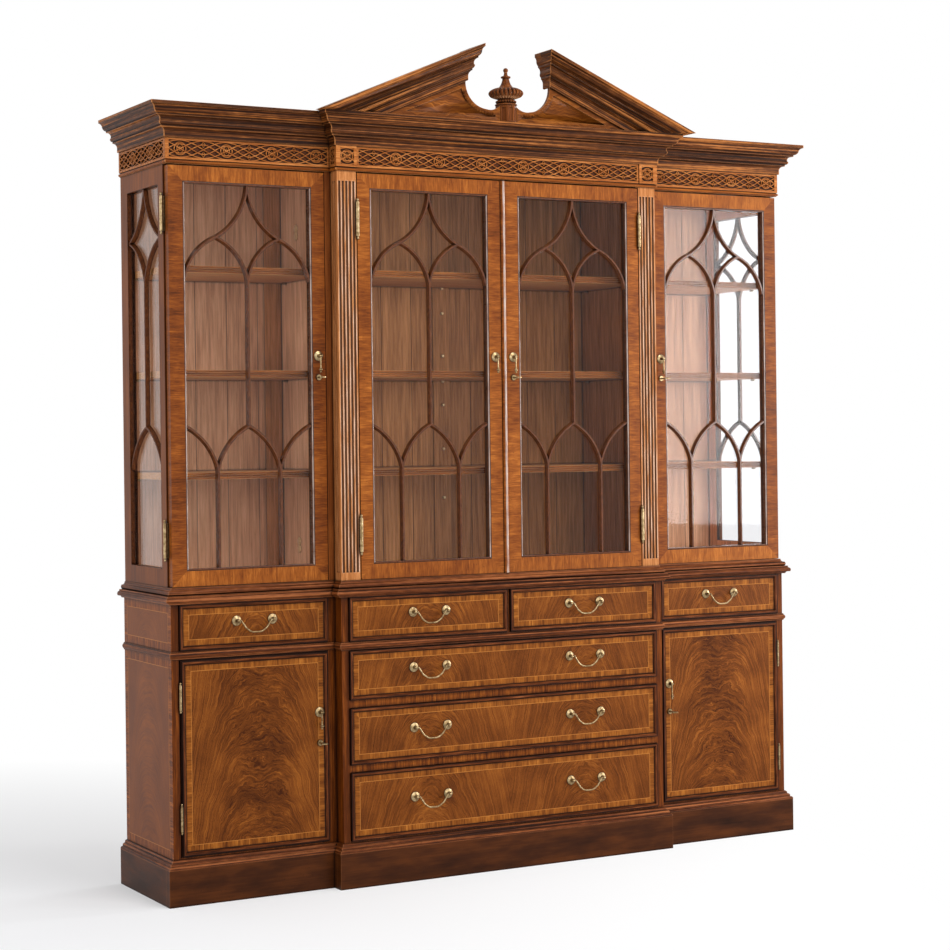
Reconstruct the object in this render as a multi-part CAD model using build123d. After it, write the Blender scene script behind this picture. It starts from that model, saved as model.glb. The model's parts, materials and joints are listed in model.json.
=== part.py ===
from build123d import *
import math
import os

# Breakfront display cabinet: a glazed upper case on a lower case of drawers and cupboards.
# Lengths are in millimetres. X runs to the right, Y to the wall, Z up.
# The origin is on the floor, at the middle of the cabinet's width and depth.
# A depth is counted from the wall towards the room.

# Plan of the lower case
case_half_width = 1000.0
wing_depth = 346.0
break_out = 39.0
break_half_width = 524.0
board = 21.0
back_board = 8.0
back_air = 2.0

# Plinth
plinth_height = 96.0
plinth_out = 19.0
plinth_board = 24.0
plinth_moulding_height = 24.0

# Levels of the lower case
opening_bottom = 124.0
low_rail_bottom = 311.0
low_rail_top = 330.0
high_rail_bottom = 486.0
high_rail_top = 506.0
middle_rail_bottom = 642.0
middle_rail_top = 665.0
lower_case_top = 787.0
top_board = 23.0
top_moulding_out = 20.0
middle_moulding_out = 7.0
middle_moulding_height = 20.0
wing_stile = 23.0
wing_stile_depth = 22.0
half_divider = 8.0
guide_height = 24.0

# Upper case
upper_inset = 4.0
foot_moulding_height = 21.0
foot_moulding_out = 13.0
door_top_gap = 4.0
frieze_bottom = 1942.0
frieze_bead_height = 11.0
frieze_bead_out = 6.0
cornice_bottom = 2010.0
cornice_height = 86.0
cornice_out = 62.0
frieze_board = 21.0
lid_board = 18.0
upper_back_board = 10.0
plank_width = 96.0
plank_groove = 3.0
pilaster_width = 58.0
pilaster_depth = 44.0
pilaster_foot = 22.0
pilaster_head = 27.0
flute_count = 5
flute_radius = 3.6
flute_pitch = 10.6
flute_depth = 2.6
cap_block_out = 3.0
wing_post_width = 19.0
wing_post_depth = 22.0

# Glazed doors and side windows
glazed_thickness = 23.5
frame_width = 46.0
frame_edge_depth = 4.0
frame_edge_width = 5.0
glazed_sill = 46.0
glazed_head = 45.0
wing_door_inset = 4.0
wing_door_gap = 2.0
meeting_half_bead = 8.0
meeting_bead_out = 7.0
bar_width = 13.0
bar_crest = 5.0
bar_height = 11.0
bar_setback = 3.0
glass_thickness = 3.0
side_rear_stile = 50.0
side_front_stile = 36.0

# Shelves
shelf_thickness = 18.0
shelf_gap = 0.8
lower_shelf_level = 1130.0
middle_shelf_level = 1403.0
upper_shelf_level = 1680.0
wing_shelf_setback = 19.5
centre_shelf_setback = 7.0
shelf_pin_size = 6.0
shelf_pin_reach = 10.0
shelf_pin_inset = 45.0

# Pediment
rake_overhang = 39.0
rake_height = 79.0
rake_top_inner_x = 107.5
rake_return_out = 30.0
rake_return_back = 31.0
rake_top_rise = 207.0
rake_tip_x = 600.0
tympanum_board = 12.0
scoop_low_x = 71.5
scoop_low_rise = 35.5
scoop_heel_rise = 46.0
scoop_bow = 14.0
field_border = 14.0
field_sink = 4.0
pedestal_flats = 56.0
pedestal_height = 50.0
pedestal_setback = 13.0
finial_radius = 50.0
finial_height = 107.0
finial_tip_radius = 7.0

# Drawers
front_board = 21.0
field_out = 2.0
border_width = 10.0
border_out = 5.0
border_chamfer = 3.0
box_board = 12.0
box_bottom_board = 6.0
box_back_space = 16.0
box_height_drop = 24.0
box_side_gap = 1.2

# Cupboard doors
cupboard_border_lip = 2.6

# Brass drawer pulls
pull_half_spacing = 52.0
pull_rise = 11.0
rosette_radius = 13.0
rosette_rim = 2.0
rosette_dome = 5.0
rosette_neck = 6.0
post_radius = 3.4
pull_pivot_out = 15.0
post_head_radius = 4.6
bail_radius = 2.3
bail_pin_radius = 1.3
bail_pin_length = 6.0
bail_shoulder_x = 44.0
bail_drop = 31.0
bail_elbow_x = 30.0
bail_elbow_drop = 20.0
bail_foot_x = 15.0
bail_elbow_bend = 14.0
bail_foot_bend = 26.0

# Brass drop pulls and keys
drop_pivot_out = 15.0
fork_half_gap = 3.0
fork_cheek = 1.6
fork_radius = 3.6
drop_pin_radius = 1.2
eye_radius = 3.0
eye_half_width = 2.7
drop_length = 46.0
drop_stem_radius = 1.9
drop_collar_radius = 5.4
drop_ball_radius = 3.0
upper_pull_level = 1441.0
upper_key_level = 1383.0
lower_pull_level = 477.0
lower_key_level = 394.0
centre_pull_gap = 8.0
lower_pull_gap = 0.5
escutcheon_radius = 7.5
escutcheon_thickness = 4.0
key_radius = 2.0
key_seat = 3.5
key_shank = 20.0
key_bow_length = 16.0
key_bow_width = 20.0
key_bow_thickness = 3.0
key_bow_hole_radius = 1.6
key_collar_radius = 3.4
key_collar_length = 3.0

# Brass hinges
barrel_radius = 5.0
barrel_length = 92.0
finial_ball_radius = 3.8
finial_neck_radius = 2.4
finial_neck_length = 3.0
ball_seat_share = 0.8
butt_radius = 3.4
butt_length = 66.0
butt_ball_radius = 2.6
leaf_thickness = 1.2
leaf_reach = 16.0
hinge_joint_gap = 3.0
hinge_pin_radius = 1.5
hinge_pin_length = 12.0
knuckle_gap = 0.4
barrel_clearance = 0.4
upper_hinge_from_foot = 121.5
upper_hinge_from_head = 125.0
lower_hinge_from_foot = 100.5
lower_hinge_from_head = 97.5

# Clearances
front_gap = 1.5
runner_gap = 0.4
running_clearance = 0.05
bore_relief = 1.0
overrun = 5.0

# Values that follow from the sizes above
centre_depth = wing_depth + break_out
upper_wing_depth = wing_depth - upper_inset
upper_centre_depth = centre_depth - upper_inset
upper_half_width = case_half_width - upper_inset
upper_break_half = break_half_width - upper_inset
upper_bottom = lower_case_top + top_board
door_sill = upper_bottom + foot_moulding_height
cornice_top = cornice_bottom + cornice_height
rake_front_depth = upper_centre_depth + cornice_out + rake_overhang
tympanum_front_depth = rake_front_depth - cornice_out
pedestal_depth = tympanum_front_depth - pedestal_setback
overall_depth = rake_front_depth
wall_y = overall_depth / 2
pilaster_inner = upper_break_half - pilaster_width
glass_bottom = door_sill + front_gap + glazed_sill
glass_top = frieze_bottom - door_top_gap - glazed_head
glass_height = glass_top - glass_bottom
carcass_front = upper_wing_depth - glazed_thickness - hinge_joint_gap
wing_door_outer = upper_half_width - wing_door_inset
wing_door_inner = upper_break_half + wing_post_width + wing_door_gap
wing_pull_x = wing_door_inner + (frame_width - hinge_joint_gap) / 2
centre_pull_x = meeting_half_bead + centre_pull_gap + rosette_radius
wing_shelf_depth = carcass_front - wing_shelf_setback
centre_shelf_depth = upper_centre_depth - pilaster_depth - centre_shelf_setback
shelf_levels = (lower_shelf_level, middle_shelf_level, upper_shelf_level)
upper_hinge_levels = (door_sill + front_gap + upper_hinge_from_foot,
                      frieze_bottom - door_top_gap - upper_hinge_from_head)
lower_hinge_levels = (opening_bottom + front_gap + lower_hinge_from_foot,
                      middle_rail_bottom - front_gap - lower_hinge_from_head)

# Mouldings as shares of their projection and height, from the lower back corner round the front.
# A pair is a straight line to that place; a pair of pairs is an arc through the first to the second.
plinth_moulding_shares = [
    (0, 0), (1, 0), ((0.93, 0.22), (0.70, 0.30)), (0.66, 0.36),
    ((0.60, 0.58), (0.37, 0.66)), (0.33, 0.72), ((0.26, 0.92), (0.06, 1)), (0, 1)]
middle_moulding_shares = [
    (0, 0), (0.40, 0), (0.40, 0.14), ((1, 0.50), (0.40, 0.86)), (0.40, 1), (0, 1)]
top_moulding_shares = [
    (0, 0), (0.40, 0), ((0.50, 0.18), (0.72, 0.26)), (0.92, 0.26),
    ((1, 0.50), (0.86, 0.74)), (0.70, 0.80), (0.70, 1), (0, 1)]
foot_moulding_shares = [
    (0, 0), (0.78, 0), ((1, 0.30), (0.80, 0.58)), (0.62, 0.58), ((0.30, 0.70), (0.16, 1)), (0, 1)]
frieze_bead_shares = [
    (0, 0), (0.30, 0), (0.30, 0.14), ((1, 0.50), (0.30, 0.86)), (0.30, 1), (0, 1)]
cornice_shares = [
    (0, 0), (0.14, 0), (0.14, 0.14), ((0.19, 0.235), (0.31, 0.28)), (0.35, 0.28),
    (0.35, 0.335), ((0.44, 0.36), (0.455, 0.445)), (0.43, 0.445), (0.43, 0.52),
    ((0.49, 0.585), (0.61, 0.61)), (0.65, 0.61), (0.65, 0.66), ((0.75, 0.69), (0.83, 0.78)),
    ((0.89, 0.865), (1, 0.90)), (1, 1), (0, 1)]

# Glazing bars of a door, left half: start, end and bulge. Places are shares of the opening,
# across from the left and down from the top; the bulge is a share of the chord, left of travel.
door_bar_shares = [
    ((0.50, 0), (0.25, 0.137), 0.13),
    ((0.25, 0.137), (0, 0.2475), -0.13),
    ((0.25, 0.137), (0.50, 0.2475), 0.13),
    ((0.50, 0.631), (0.25, 0.744), -0.11),
    ((0, 0.631), (0.25, 0.744), 0.11),
    ((0.25, 0.744), (0.25, 1), 0)]
side_bar_shares = [
    ((0.50, 0), (0, 0.137), 0.13),
    ((0, 0.137), (0.50, 0.2475), 0.13),
    ((0.50, 0.631), (0, 0.744), -0.11)]
middle_bar_shares = [((0.50, 0.2475), (0.50, 0.631), 0)]

# Turned finial as shares of its radius and height, up its outline
finial_shares = [
    (0, 0), (0.56, 0), ((0.63, 0.05), (0.56, 0.10)), (0.50, 0.12), ((0.54, 0.16), (0.66, 0.18)),
    ((1, 0.33), (0.72, 0.455)), (0.42, 0.50), ((0.25, 0.60), (0.20, 0.72)), (0.27, 0.74),
    (0.27, 0.775), (0.15, 0.785), ((0.10, 0.83), (0.10, 0.90)), (0, 0.90)]

# Drop pendant as shares of its collar radius and length, down its outline
drop_shares = [
    (0, 0.03), (0.35, 0.03), (0.35, 0.62), (0.50, 0.74), (1, 0.78), (1, 0.83), (0.40, 0.87),
    (0.40, 0.92), (0, 0.92)]


def y_at(depth):
    return wall_y - depth


def block(x0, x1, depth0, depth1, z0, z1):
    # Box between two places across, two depths and two levels
    size = (abs(x1 - x0), abs(depth1 - depth0), abs(z1 - z0))
    middle = ((x0 + x1) / 2, y_at((depth0 + depth1) / 2), (z0 + z1) / 2)
    return Pos(*middle) * Box(*size)


def both_sides(x0, x1, depth0, depth1, z0, z1):
    return [block(side * x0, side * x1, depth0, depth1, z0, z1) for side in (-1, 1)]


def outline_edges(points):
    # Lines and arcs through a list of places, closed back to the first
    edges = []
    here = points[0]
    for move in points[1:] + [points[0]]:
        if isinstance(move[0], tuple):
            edges.append(ThreePointArc(here, move[0], move[1]))
            here = move[1]
        elif move != here:
            edges.append(Line(here, move))
            here = move
    return edges


def mapped(shares, place):
    # The same outline with every place put through a function
    result = []
    for move in shares:
        if isinstance(move[0], tuple):
            result.append((place(*move[0]), place(*move[1])))
        else:
            result.append(place(*move))
    return result


def section(shares, out, height):
    return make_face(outline_edges(mapped(shares, lambda a, b: (a * out, b * height))))


def front_shape(points, depth0, depth1):
    # Flat shape seen from the front, as thick as the two depths say
    plane = Plane(origin=(0, y_at(depth0), 0), x_dir=(1, 0, 0), z_dir=(0, -1, 0))
    return extrude(plane * make_face(outline_edges(points)), depth1 - depth0)


def plan_shape(points, z0, z1):
    # Upright prism over places given as across and depth
    face = make_face(outline_edges([(x, y_at(depth)) for x, depth in points]))
    return extrude(Pos(0, 0, z0) * face, z1 - z0)


def breakfront_path(half_width, break_half, depth_wing, depth_centre):
    # Plan of the faces that a moulding runs round, from the wall at the right to the wall at the left
    return [(half_width, 0), (half_width, depth_wing), (break_half, depth_wing),
            (break_half, depth_centre), (-break_half, depth_centre), (-break_half, depth_wing),
            (-half_width, depth_wing), (-half_width, 0)]


def mitred_moulding(path, shares, out, height, z0):
    # One length of moulding for each face of the path, mitred to its neighbours
    profile = section(shares, out, height)
    ends = [Vector(x, y_at(depth)) for x, depth in path]
    runs = [(ends[i + 1] - ends[i]).normalized() for i in range(len(ends) - 1)]
    outward = [Vector(-run.Y, run.X) for run in runs]
    lengths = []
    for i, run in enumerate(runs):
        before = outward[i - 1] if i else Vector(0, 0)
        after = outward[i + 1] if i + 1 < len(runs) else Vector(0, 0)
        corners = [ends[i], ends[i + 1], ends[i + 1] + (outward[i] + after) * out,
                   ends[i] + (outward[i] + before) * out]
        start = ends[i] - run * out + Vector(0, 0, z0)
        plane = Plane(origin=start, x_dir=outward[i], z_dir=run)
        bar = extrude(plane * profile, (ends[i + 1] - ends[i]).length + 2 * out)
        corners = [(corner.X, corner.Y) for corner in corners]
        prism = extrude(Pos(0, 0, z0) * make_face(outline_edges(corners)), height)
        lengths.append(bar & prism)
    return lengths


def revolved(points, x, depth, z):
    # Turned piece on an upright axis, its outline given as radius and height
    face = make_face(outline_edges(points))
    turned = revolve(Plane.XZ * face, Axis.Z)
    return Pos(x, y_at(depth), z) * turned


def rod_forward(radius, x, depth0, depth1, z):
    # Round rod that points at the room
    plane = Plane(origin=(x, y_at(depth0), z), x_dir=(1, 0, 0), z_dir=(0, -1, 0))
    return extrude(plane * Circle(radius), depth1 - depth0)


def rod_across(radius, x0, x1, depth, z):
    plane = Plane(origin=(min(x0, x1), y_at(depth), z), x_dir=(0, 1, 0), z_dir=(1, 0, 0))
    return extrude(plane * Circle(radius), abs(x1 - x0))


def make_plinth():
    half_width = case_half_width + plinth_out
    break_half = break_half_width + plinth_out
    front = wing_depth + plinth_out
    centre = centre_depth + plinth_out
    pieces = both_sides(half_width - plinth_board, half_width, 0, front - plinth_board, 0, plinth_height)
    pieces += both_sides(break_half, half_width, front - plinth_board, front, 0, plinth_height)
    pieces += both_sides(break_half - plinth_board, break_half, front - plinth_board,
                         centre - plinth_board, 0, plinth_height)
    pieces.append(block(-break_half, break_half, centre - plinth_board, centre, 0, plinth_height))
    rear = half_width - plinth_board
    pieces.append(block(-rear, rear, 0, plinth_board, 0, plinth_height))
    path = breakfront_path(case_half_width, break_half_width, wing_depth, centre_depth)
    pieces += mitred_moulding(path, plinth_moulding_shares, plinth_out, plinth_moulding_height,
                              plinth_height)
    return pieces


def make_base_case():
    partition = break_half_width - board
    wing_side = case_half_width - board
    inside = back_board + back_air
    pieces = both_sides(wing_side, case_half_width, 0, wing_depth, plinth_height, lower_case_top)
    pieces += both_sides(partition, break_half_width, inside, centre_depth, plinth_height, lower_case_top)
    pieces.append(block(-wing_side, wing_side, 0, back_board, plinth_height, lower_case_top))
    shelves = [(plinth_height, opening_bottom), (middle_rail_bottom, middle_rail_top)]
    for low, high in shelves:
        pieces += both_sides(break_half_width, wing_side, inside, wing_depth, low, high)
        pieces.append(block(-partition, partition, inside, centre_depth, low, high))
    for low, high in ((low_rail_bottom, low_rail_top), (high_rail_bottom, high_rail_top)):
        pieces.append(block(-partition, partition, inside, centre_depth, low, high))
    pieces += both_sides(break_half_width, break_half_width + wing_stile, wing_depth - wing_stile_depth,
                         wing_depth, opening_bottom, middle_rail_bottom)
    pieces += both_sides(break_half_width, break_half_width + wing_stile, wing_depth - wing_stile_depth,
                         wing_depth, middle_rail_top, lower_case_top)
    pieces += both_sides(break_half_width, break_half_width + wing_stile, inside,
                         wing_depth - wing_stile_depth, middle_rail_top, middle_rail_top + guide_height)
    pieces.append(block(-half_divider / 2, half_divider / 2, inside, centre_depth, middle_rail_top,
                        lower_case_top))
    top = lower_case_top + top_board
    pieces += both_sides(break_half_width, case_half_width, 0, wing_depth, lower_case_top, top)
    pieces.append(block(-break_half_width, break_half_width, 0, centre_depth, lower_case_top, top))
    return pieces


def make_case_mouldings():
    path = breakfront_path(case_half_width, break_half_width, wing_depth, centre_depth)
    middle = (middle_rail_bottom + middle_rail_top - middle_moulding_height) / 2
    pieces = mitred_moulding(path, middle_moulding_shares, middle_moulding_out,
                             middle_moulding_height, middle)
    pieces += mitred_moulding(path, top_moulding_shares, top_moulding_out, top_board, lower_case_top)
    path = breakfront_path(upper_half_width, upper_break_half, upper_wing_depth, upper_centre_depth)
    pieces += mitred_moulding(path, foot_moulding_shares, foot_moulding_out, foot_moulding_height,
                              upper_bottom)
    return pieces


def glazing_bars(width, height, half_shares):
    # Tracery of one opening, its back on the XZ plane and its top at the origin's level
    moves = list(half_shares) + list(middle_bar_shares)
    moves += [((1 - a[0], a[1]), (1 - b[0], b[1]), -bulge) for a, b, bulge in half_shares]
    tracery = None
    for start, end, bulge in moves:
        first, last = [Vector((u - 0.5) * width, 0, -v * height) for u, v in (start, end)]
        chord = last - first
        left = Vector(-chord.Z, 0, chord.X)
        path = ThreePointArc(first, (first + last) / 2 + left * bulge, last) if bulge else Line(first, last)
        forward = Vector(0, -1, 0)
        tangent = path % 0
        plane = Plane(origin=path @ 0, x_dir=forward.cross(tangent), z_dir=tangent)
        foot = bar_width / 2
        crest = bar_crest / 2
        profile = plane * make_face(outline_edges(
            [(-foot, 0), (foot, 0), (crest, bar_height), (-crest, bar_height)]))
        bar = sweep(profile, path)
        tracery = bar if tracery is None else tracery + bar
    trim = Pos(0, -bar_height / 2, -height / 2) * Box(width, bar_height, height)
    return tracery & trim


def flat_frame(x0, x1, z0, z1, left, right, low, high, front):
    # Four mitred boards round an opening, each with a small ovolo on its inner front edge
    back = front - glazed_thickness
    outer = [(x0, z0), (x1, z0), (x1, z1), (x0, z1)]
    inner = [(left, low), (right, low), (right, high), (left, high)]
    step = [(left - frame_edge_width, low - frame_edge_width), (right + frame_edge_width, low - frame_edge_width),
            (right + frame_edge_width, high + frame_edge_width), (left - frame_edge_width, high + frame_edge_width)]
    boards = []
    for i in range(4):
        j = (i + 1) % 4
        board_shape = front_shape([outer[i], outer[j], inner[j], inner[i]], back, front)
        sunk = front_shape([step[i], step[j], inner[j], inner[i]], front - frame_edge_depth, front)
        boards.append(board_shape - sunk)
    return boards


def make_upper_case():
    inside = upper_back_board
    side_inner = upper_half_width - board
    partition = upper_break_half - board
    pieces = []
    for side in (-1, 1):
        rear = (side * side_inner, side * upper_half_width)
        window_rear = side_rear_stile
        window_front = carcass_front - side_front_stile
        pieces.append(block(*rear, 0, window_rear, door_sill, frieze_bottom))
        pieces.append(block(*rear, window_front, carcass_front, door_sill, frieze_bottom))
        pieces.append(block(*rear, window_rear, window_front, door_sill, glass_bottom))
        pieces.append(block(*rear, window_rear, window_front, glass_top, frieze_bottom))
        width = window_front - window_rear
        bars = glazing_bars(width, glass_height, side_bar_shares)
        face_x = side * (upper_half_width - bar_setback - bar_height)
        place = Pos(face_x, y_at((window_rear + window_front) / 2), glass_top)
        pieces.append(place * Rot(0, 0, side * 90) * bars)
    pieces += both_sides(partition, upper_break_half, inside, upper_centre_depth - pilaster_depth,
                         door_sill, frieze_bottom)
    pieces += both_sides(upper_break_half, upper_break_half + wing_post_width,
                         upper_wing_depth - wing_post_depth, upper_wing_depth, door_sill, frieze_bottom)
    pieces += both_sides(upper_break_half, upper_half_width, 0, upper_wing_depth, upper_bottom, door_sill)
    pieces.append(block(-upper_break_half, upper_break_half, 0, upper_centre_depth, upper_bottom, door_sill))
    lid = frieze_bottom + lid_board
    lid_wing = upper_wing_depth - frieze_board
    pieces += both_sides(upper_break_half - frieze_board, upper_half_width - frieze_board, inside, lid_wing,
                         frieze_bottom, lid)
    pieces.append(block(-upper_break_half + frieze_board, upper_break_half - frieze_board, inside,
                        upper_centre_depth - frieze_board, frieze_bottom, lid))
    for low_x, high_x in ((-side_inner, -partition), (-partition, partition), (partition, side_inner)):
        pieces.append(planked_back(low_x, high_x))
    for side in (-1, 1):
        pieces.append(make_pilaster(side))
    return pieces


def planked_back(low_x, high_x):
    # Back of one bay, with a V groove at each joint between planks
    panel = block(low_x, high_x, 0, upper_back_board, door_sill, cornice_top)
    planks = max(round((high_x - low_x) / plank_width), 1)
    width = (high_x - low_x) / planks
    grooves = []
    for i in range(1, planks):
        x = low_x + i * width
        points = [(x - plank_groove / 2, upper_back_board), (x, upper_back_board - plank_groove / 2),
                  (x + plank_groove / 2, upper_back_board)]
        grooves.append(plan_shape(points, door_sill, frieze_bottom))
    return panel - grooves


def make_pilaster(side):
    # Fluted post beside the centre doors, with stopped flutes on its front and on its outer side
    front = upper_centre_depth
    inner = side * pilaster_inner
    outer = side * upper_break_half
    post = block(inner, outer, front - pilaster_depth, front, door_sill, frieze_bottom)
    low = door_sill + pilaster_foot
    high = frieze_bottom - pilaster_head
    middle = (inner + outer) / 2
    cutter = Cylinder(flute_radius, high - low, align=(Align.CENTER, Align.CENTER, Align.MIN))
    lift = flute_radius - flute_depth
    flutes = []
    for i in range(flute_count):
        x = middle + (i - (flute_count - 1) / 2) * flute_pitch
        flutes.append(Pos(x, y_at(front + lift), low) * cutter)
    for i in range(2):
        depth = front - break_out / 2 + (i - 0.5) * flute_pitch
        flutes.append(Pos(outer + side * lift, y_at(depth), low) * cutter)
    return post - flutes


def make_shelves():
    side_inner = upper_half_width - board
    partition = upper_break_half - board
    pieces = []
    for top in shelf_levels:
        low = top - shelf_thickness
        back = upper_back_board + shelf_gap
        pieces += both_sides(upper_break_half + shelf_gap, side_inner - shelf_gap, back, wing_shelf_depth,
                             low, top)
        pieces.append(block(-partition + shelf_gap, partition - shelf_gap, back, centre_shelf_depth, low, top))
    return pieces


def make_cornice():
    path = breakfront_path(upper_half_width, upper_break_half, upper_wing_depth, upper_centre_depth)
    pieces = mitred_moulding(path, cornice_shares, cornice_out, cornice_height, cornice_bottom)
    pieces += mitred_moulding(path, frieze_bead_shares, frieze_bead_out, frieze_bead_height, frieze_bottom)
    wing_back = upper_wing_depth - frieze_board
    centre_back = upper_centre_depth - frieze_board
    inner_side = upper_half_width - frieze_board
    inner_break = upper_break_half - frieze_board
    pieces += both_sides(inner_side, upper_half_width, 0, wing_back, frieze_bottom, cornice_top)
    pieces += both_sides(upper_break_half, upper_half_width, wing_back, upper_wing_depth,
                         frieze_bottom, cornice_top)
    pieces += both_sides(inner_break, upper_break_half, wing_back, centre_back, frieze_bottom, cornice_top)
    pieces.append(block(-upper_break_half, upper_break_half, centre_back, upper_centre_depth,
                        frieze_bottom, cornice_top))
    block_low = frieze_bottom + frieze_bead_height
    pieces += both_sides(pilaster_inner, upper_break_half, upper_centre_depth,
                         upper_centre_depth + cap_block_out, block_low, cornice_bottom)
    lid_low = cornice_top - lid_board
    pieces.append(block(-inner_side, inner_side, upper_back_board, wing_back, lid_low, cornice_top))
    pieces.append(block(-inner_break, inner_break, wing_back, centre_back, lid_low, cornice_top))
    return pieces


# Slope of the raking cornice, and the line of its lower edge
rake_run = rake_tip_x - rake_top_inner_x
rake_tangent = rake_top_rise / rake_run
rake_angle = math.atan(rake_tangent)
rake_end_x = rake_top_inner_x + rake_return_out
rake_top_at_end = cornice_top + rake_top_rise - rake_return_out * rake_tangent
rake_foot_at_end = rake_top_at_end - rake_height / math.cos(rake_angle)


def rake_foot_x(level):
    # Where the lower edge of the raking cornice reaches a level
    return rake_end_x + (rake_foot_at_end - level) / rake_tangent


def make_rake():
    # Right raking cornice, seated on the level cornice and mitred to its return
    run = Vector(-math.cos(rake_angle), 0, math.sin(rake_angle))
    low_x = rake_tip_x + rake_height
    start = Vector(low_x, y_at(tympanum_front_depth), rake_foot_at_end - (low_x - rake_end_x) * rake_tangent)
    plane = Plane(origin=start, x_dir=(0, -1, 0), z_dir=run)
    bar = extrude(plane * section(cornice_shares, cornice_out, rake_height), 2 * low_x)
    plan = [(rake_end_x, tympanum_front_depth), (rake_top_inner_x, rake_front_depth), (low_x, rake_front_depth),
            (low_x, tympanum_front_depth)]
    return bar & plan_shape(plan, cornice_top, cornice_top + rake_top_rise + overrun)


def make_rake_return():
    # Inner end of the right raking cornice, whose moulding turns back to the wall
    def place(a, b):
        out = a * rake_return_out
        rise = b * rake_height / math.cos(rake_angle) + out * rake_tangent
        return (rake_end_x - out, rake_foot_at_end + rise)

    back = tympanum_front_depth - rake_return_back
    bar = front_shape(mapped(cornice_shares, place), back, rake_front_depth)
    far = rake_top_inner_x - overrun
    plan = [(rake_end_x, back), (rake_end_x, tympanum_front_depth), (rake_top_inner_x, rake_front_depth),
            (far, rake_front_depth), (far, back)]
    return bar & plan_shape(plan, cornice_top, cornice_top + rake_top_rise + overrun)


def make_tympanum():
    # Right half of the pediment's board, scooped beside the pedestal, with a sunk field
    heel = (pedestal_flats / 2, cornice_top + scoop_heel_rise)
    low = (scoop_low_x, cornice_top + scoop_low_rise)
    top = (rake_end_x, rake_foot_at_end)
    small_mid = ((heel[0] + low[0]) / 2 - scoop_bow / 4, (heel[1] + low[1]) / 2 - scoop_bow / 3)
    large_mid = ((low[0] + top[0]) / 2 + scoop_bow, (low[1] + top[1]) / 2 - scoop_bow)
    scoop = [heel, (small_mid, low), (large_mid, top)]
    crest = rake_top_at_end - field_sink
    crest_x = rake_end_x + (crest - cornice_top) / rake_tangent
    board_points = [(heel[0], cornice_top)] + scoop + [(rake_end_x, crest), (crest_x, cornice_top)]
    back = tympanum_front_depth - tympanum_board
    panel = front_shape(board_points, back, tympanum_front_depth)
    seen = [(heel[0], cornice_top)] + scoop + [(rake_foot_x(cornice_top), cornice_top)]
    field = offset(make_face(outline_edges(seen)), -field_border, kind=Kind.INTERSECTION)
    plane = Plane(origin=(0, y_at(tympanum_front_depth - field_sink), 0), x_dir=(1, 0, 0), z_dir=(0, -1, 0))
    return panel - extrude(plane * field, field_sink)


def make_pedestal():
    # Eight sided block under the finial
    face = RegularPolygon(pedestal_flats / 2, 8, major_radius=False, rotation=22.5)
    return Pos(0, y_at(pedestal_depth), cornice_top) * extrude(face, pedestal_height)


def make_pediment():
    right = [make_rake(), make_rake_return(), make_tympanum()]
    pieces = right + [mirror(piece, Plane.YZ) for piece in right]
    pieces.append(make_pedestal())
    profile = mapped(finial_shares, lambda a, b: (a * finial_radius, b * finial_height))
    foot = cornice_top + pedestal_height
    tip = Pos(0, y_at(pedestal_depth), foot + finial_height - finial_tip_radius) * Sphere(finial_tip_radius)
    pieces.append(revolved(profile, 0, pedestal_depth, foot) + tip)
    return pieces


def hinge(x, depth, z, u, v, radius, length, ball):
    # Lift-off hinge: u points from the barrel into the joint and v from the case to the door.
    # The lower half and its pin stay with the case; the upper half turns with the door.
    axis = Vector(x, y_at(depth), z)
    half = length / 2
    reach = radius + barrel_clearance

    def leaf(near, far, across, low, high):
        # Flat plate between two distances from the axis
        a = axis + u * near + v * across[0] + Vector(0, 0, low)
        b = axis + u * far + v * across[1] + Vector(0, 0, high)
        return Pos(*((a + b) / 2)) * Box(abs(b.X - a.X), abs(b.Y - a.Y), abs(b.Z - a.Z))

    def knuckle(low, high, finial_side):
        tube = Pos(x, y_at(depth), z + low) * Cylinder(
            radius, high - low, align=(Align.CENTER, Align.CENTER, Align.MIN))
        tip = z + (high if finial_side > 0 else low)
        neck = Pos(x, y_at(depth), tip + finial_side * finial_neck_length / 2) * Cylinder(
            finial_neck_radius, finial_neck_length)
        ball_centre = tip + finial_side * (finial_neck_length + ball * ball_seat_share)
        return tube + neck + Pos(x, y_at(depth), ball_centre) * Sphere(ball)

    case_side = (-hinge_joint_gap / 2, -hinge_joint_gap / 2 + leaf_thickness)
    door_side = (hinge_joint_gap / 2 - leaf_thickness, hinge_joint_gap / 2)
    low_end = -knuckle_gap / 2
    high_end = knuckle_gap / 2
    pin = Pos(x, y_at(depth), z + low_end - overrun) * Cylinder(
        hinge_pin_radius, hinge_pin_length + overrun, align=(Align.CENTER, Align.CENTER, Align.MIN))
    bore = Pos(x, y_at(depth), z) * Cylinder(
        hinge_pin_radius + running_clearance, hinge_pin_length + bore_relief,
        align=(Align.CENTER, Align.CENTER, Align.MIN))
    fixed = knuckle(-half, low_end, -1) + pin
    fixed += leaf(0, reach, case_side, -half, low_end)
    fixed += leaf(reach, reach + leaf_reach, case_side, -half, half)
    moving = knuckle(high_end, half, 1) - bore
    moving += leaf(radius / 2, reach, door_side, high_end, half)
    moving += leaf(reach, reach + leaf_reach, door_side, -half, half)
    return fixed, moving


def turned_forward(points, x, depth, z):
    # Turned piece whose axis points at the room, its outline given as radius and distance forward
    turned = revolve(Plane.XZ * make_face(outline_edges(points)), Axis.Z)
    return Pos(x, y_at(depth), z) * Rot(90, 0, 0) * Rot(0, 0, 90) * turned


def rosette(x, depth, z):
    # Domed round plate, its back at the given depth
    points = [(0, 0), (rosette_radius, 0), (rosette_radius, rosette_rim), (rosette_neck, rosette_dome),
              (0, rosette_dome)]
    return turned_forward(points, x, depth, z)


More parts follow.
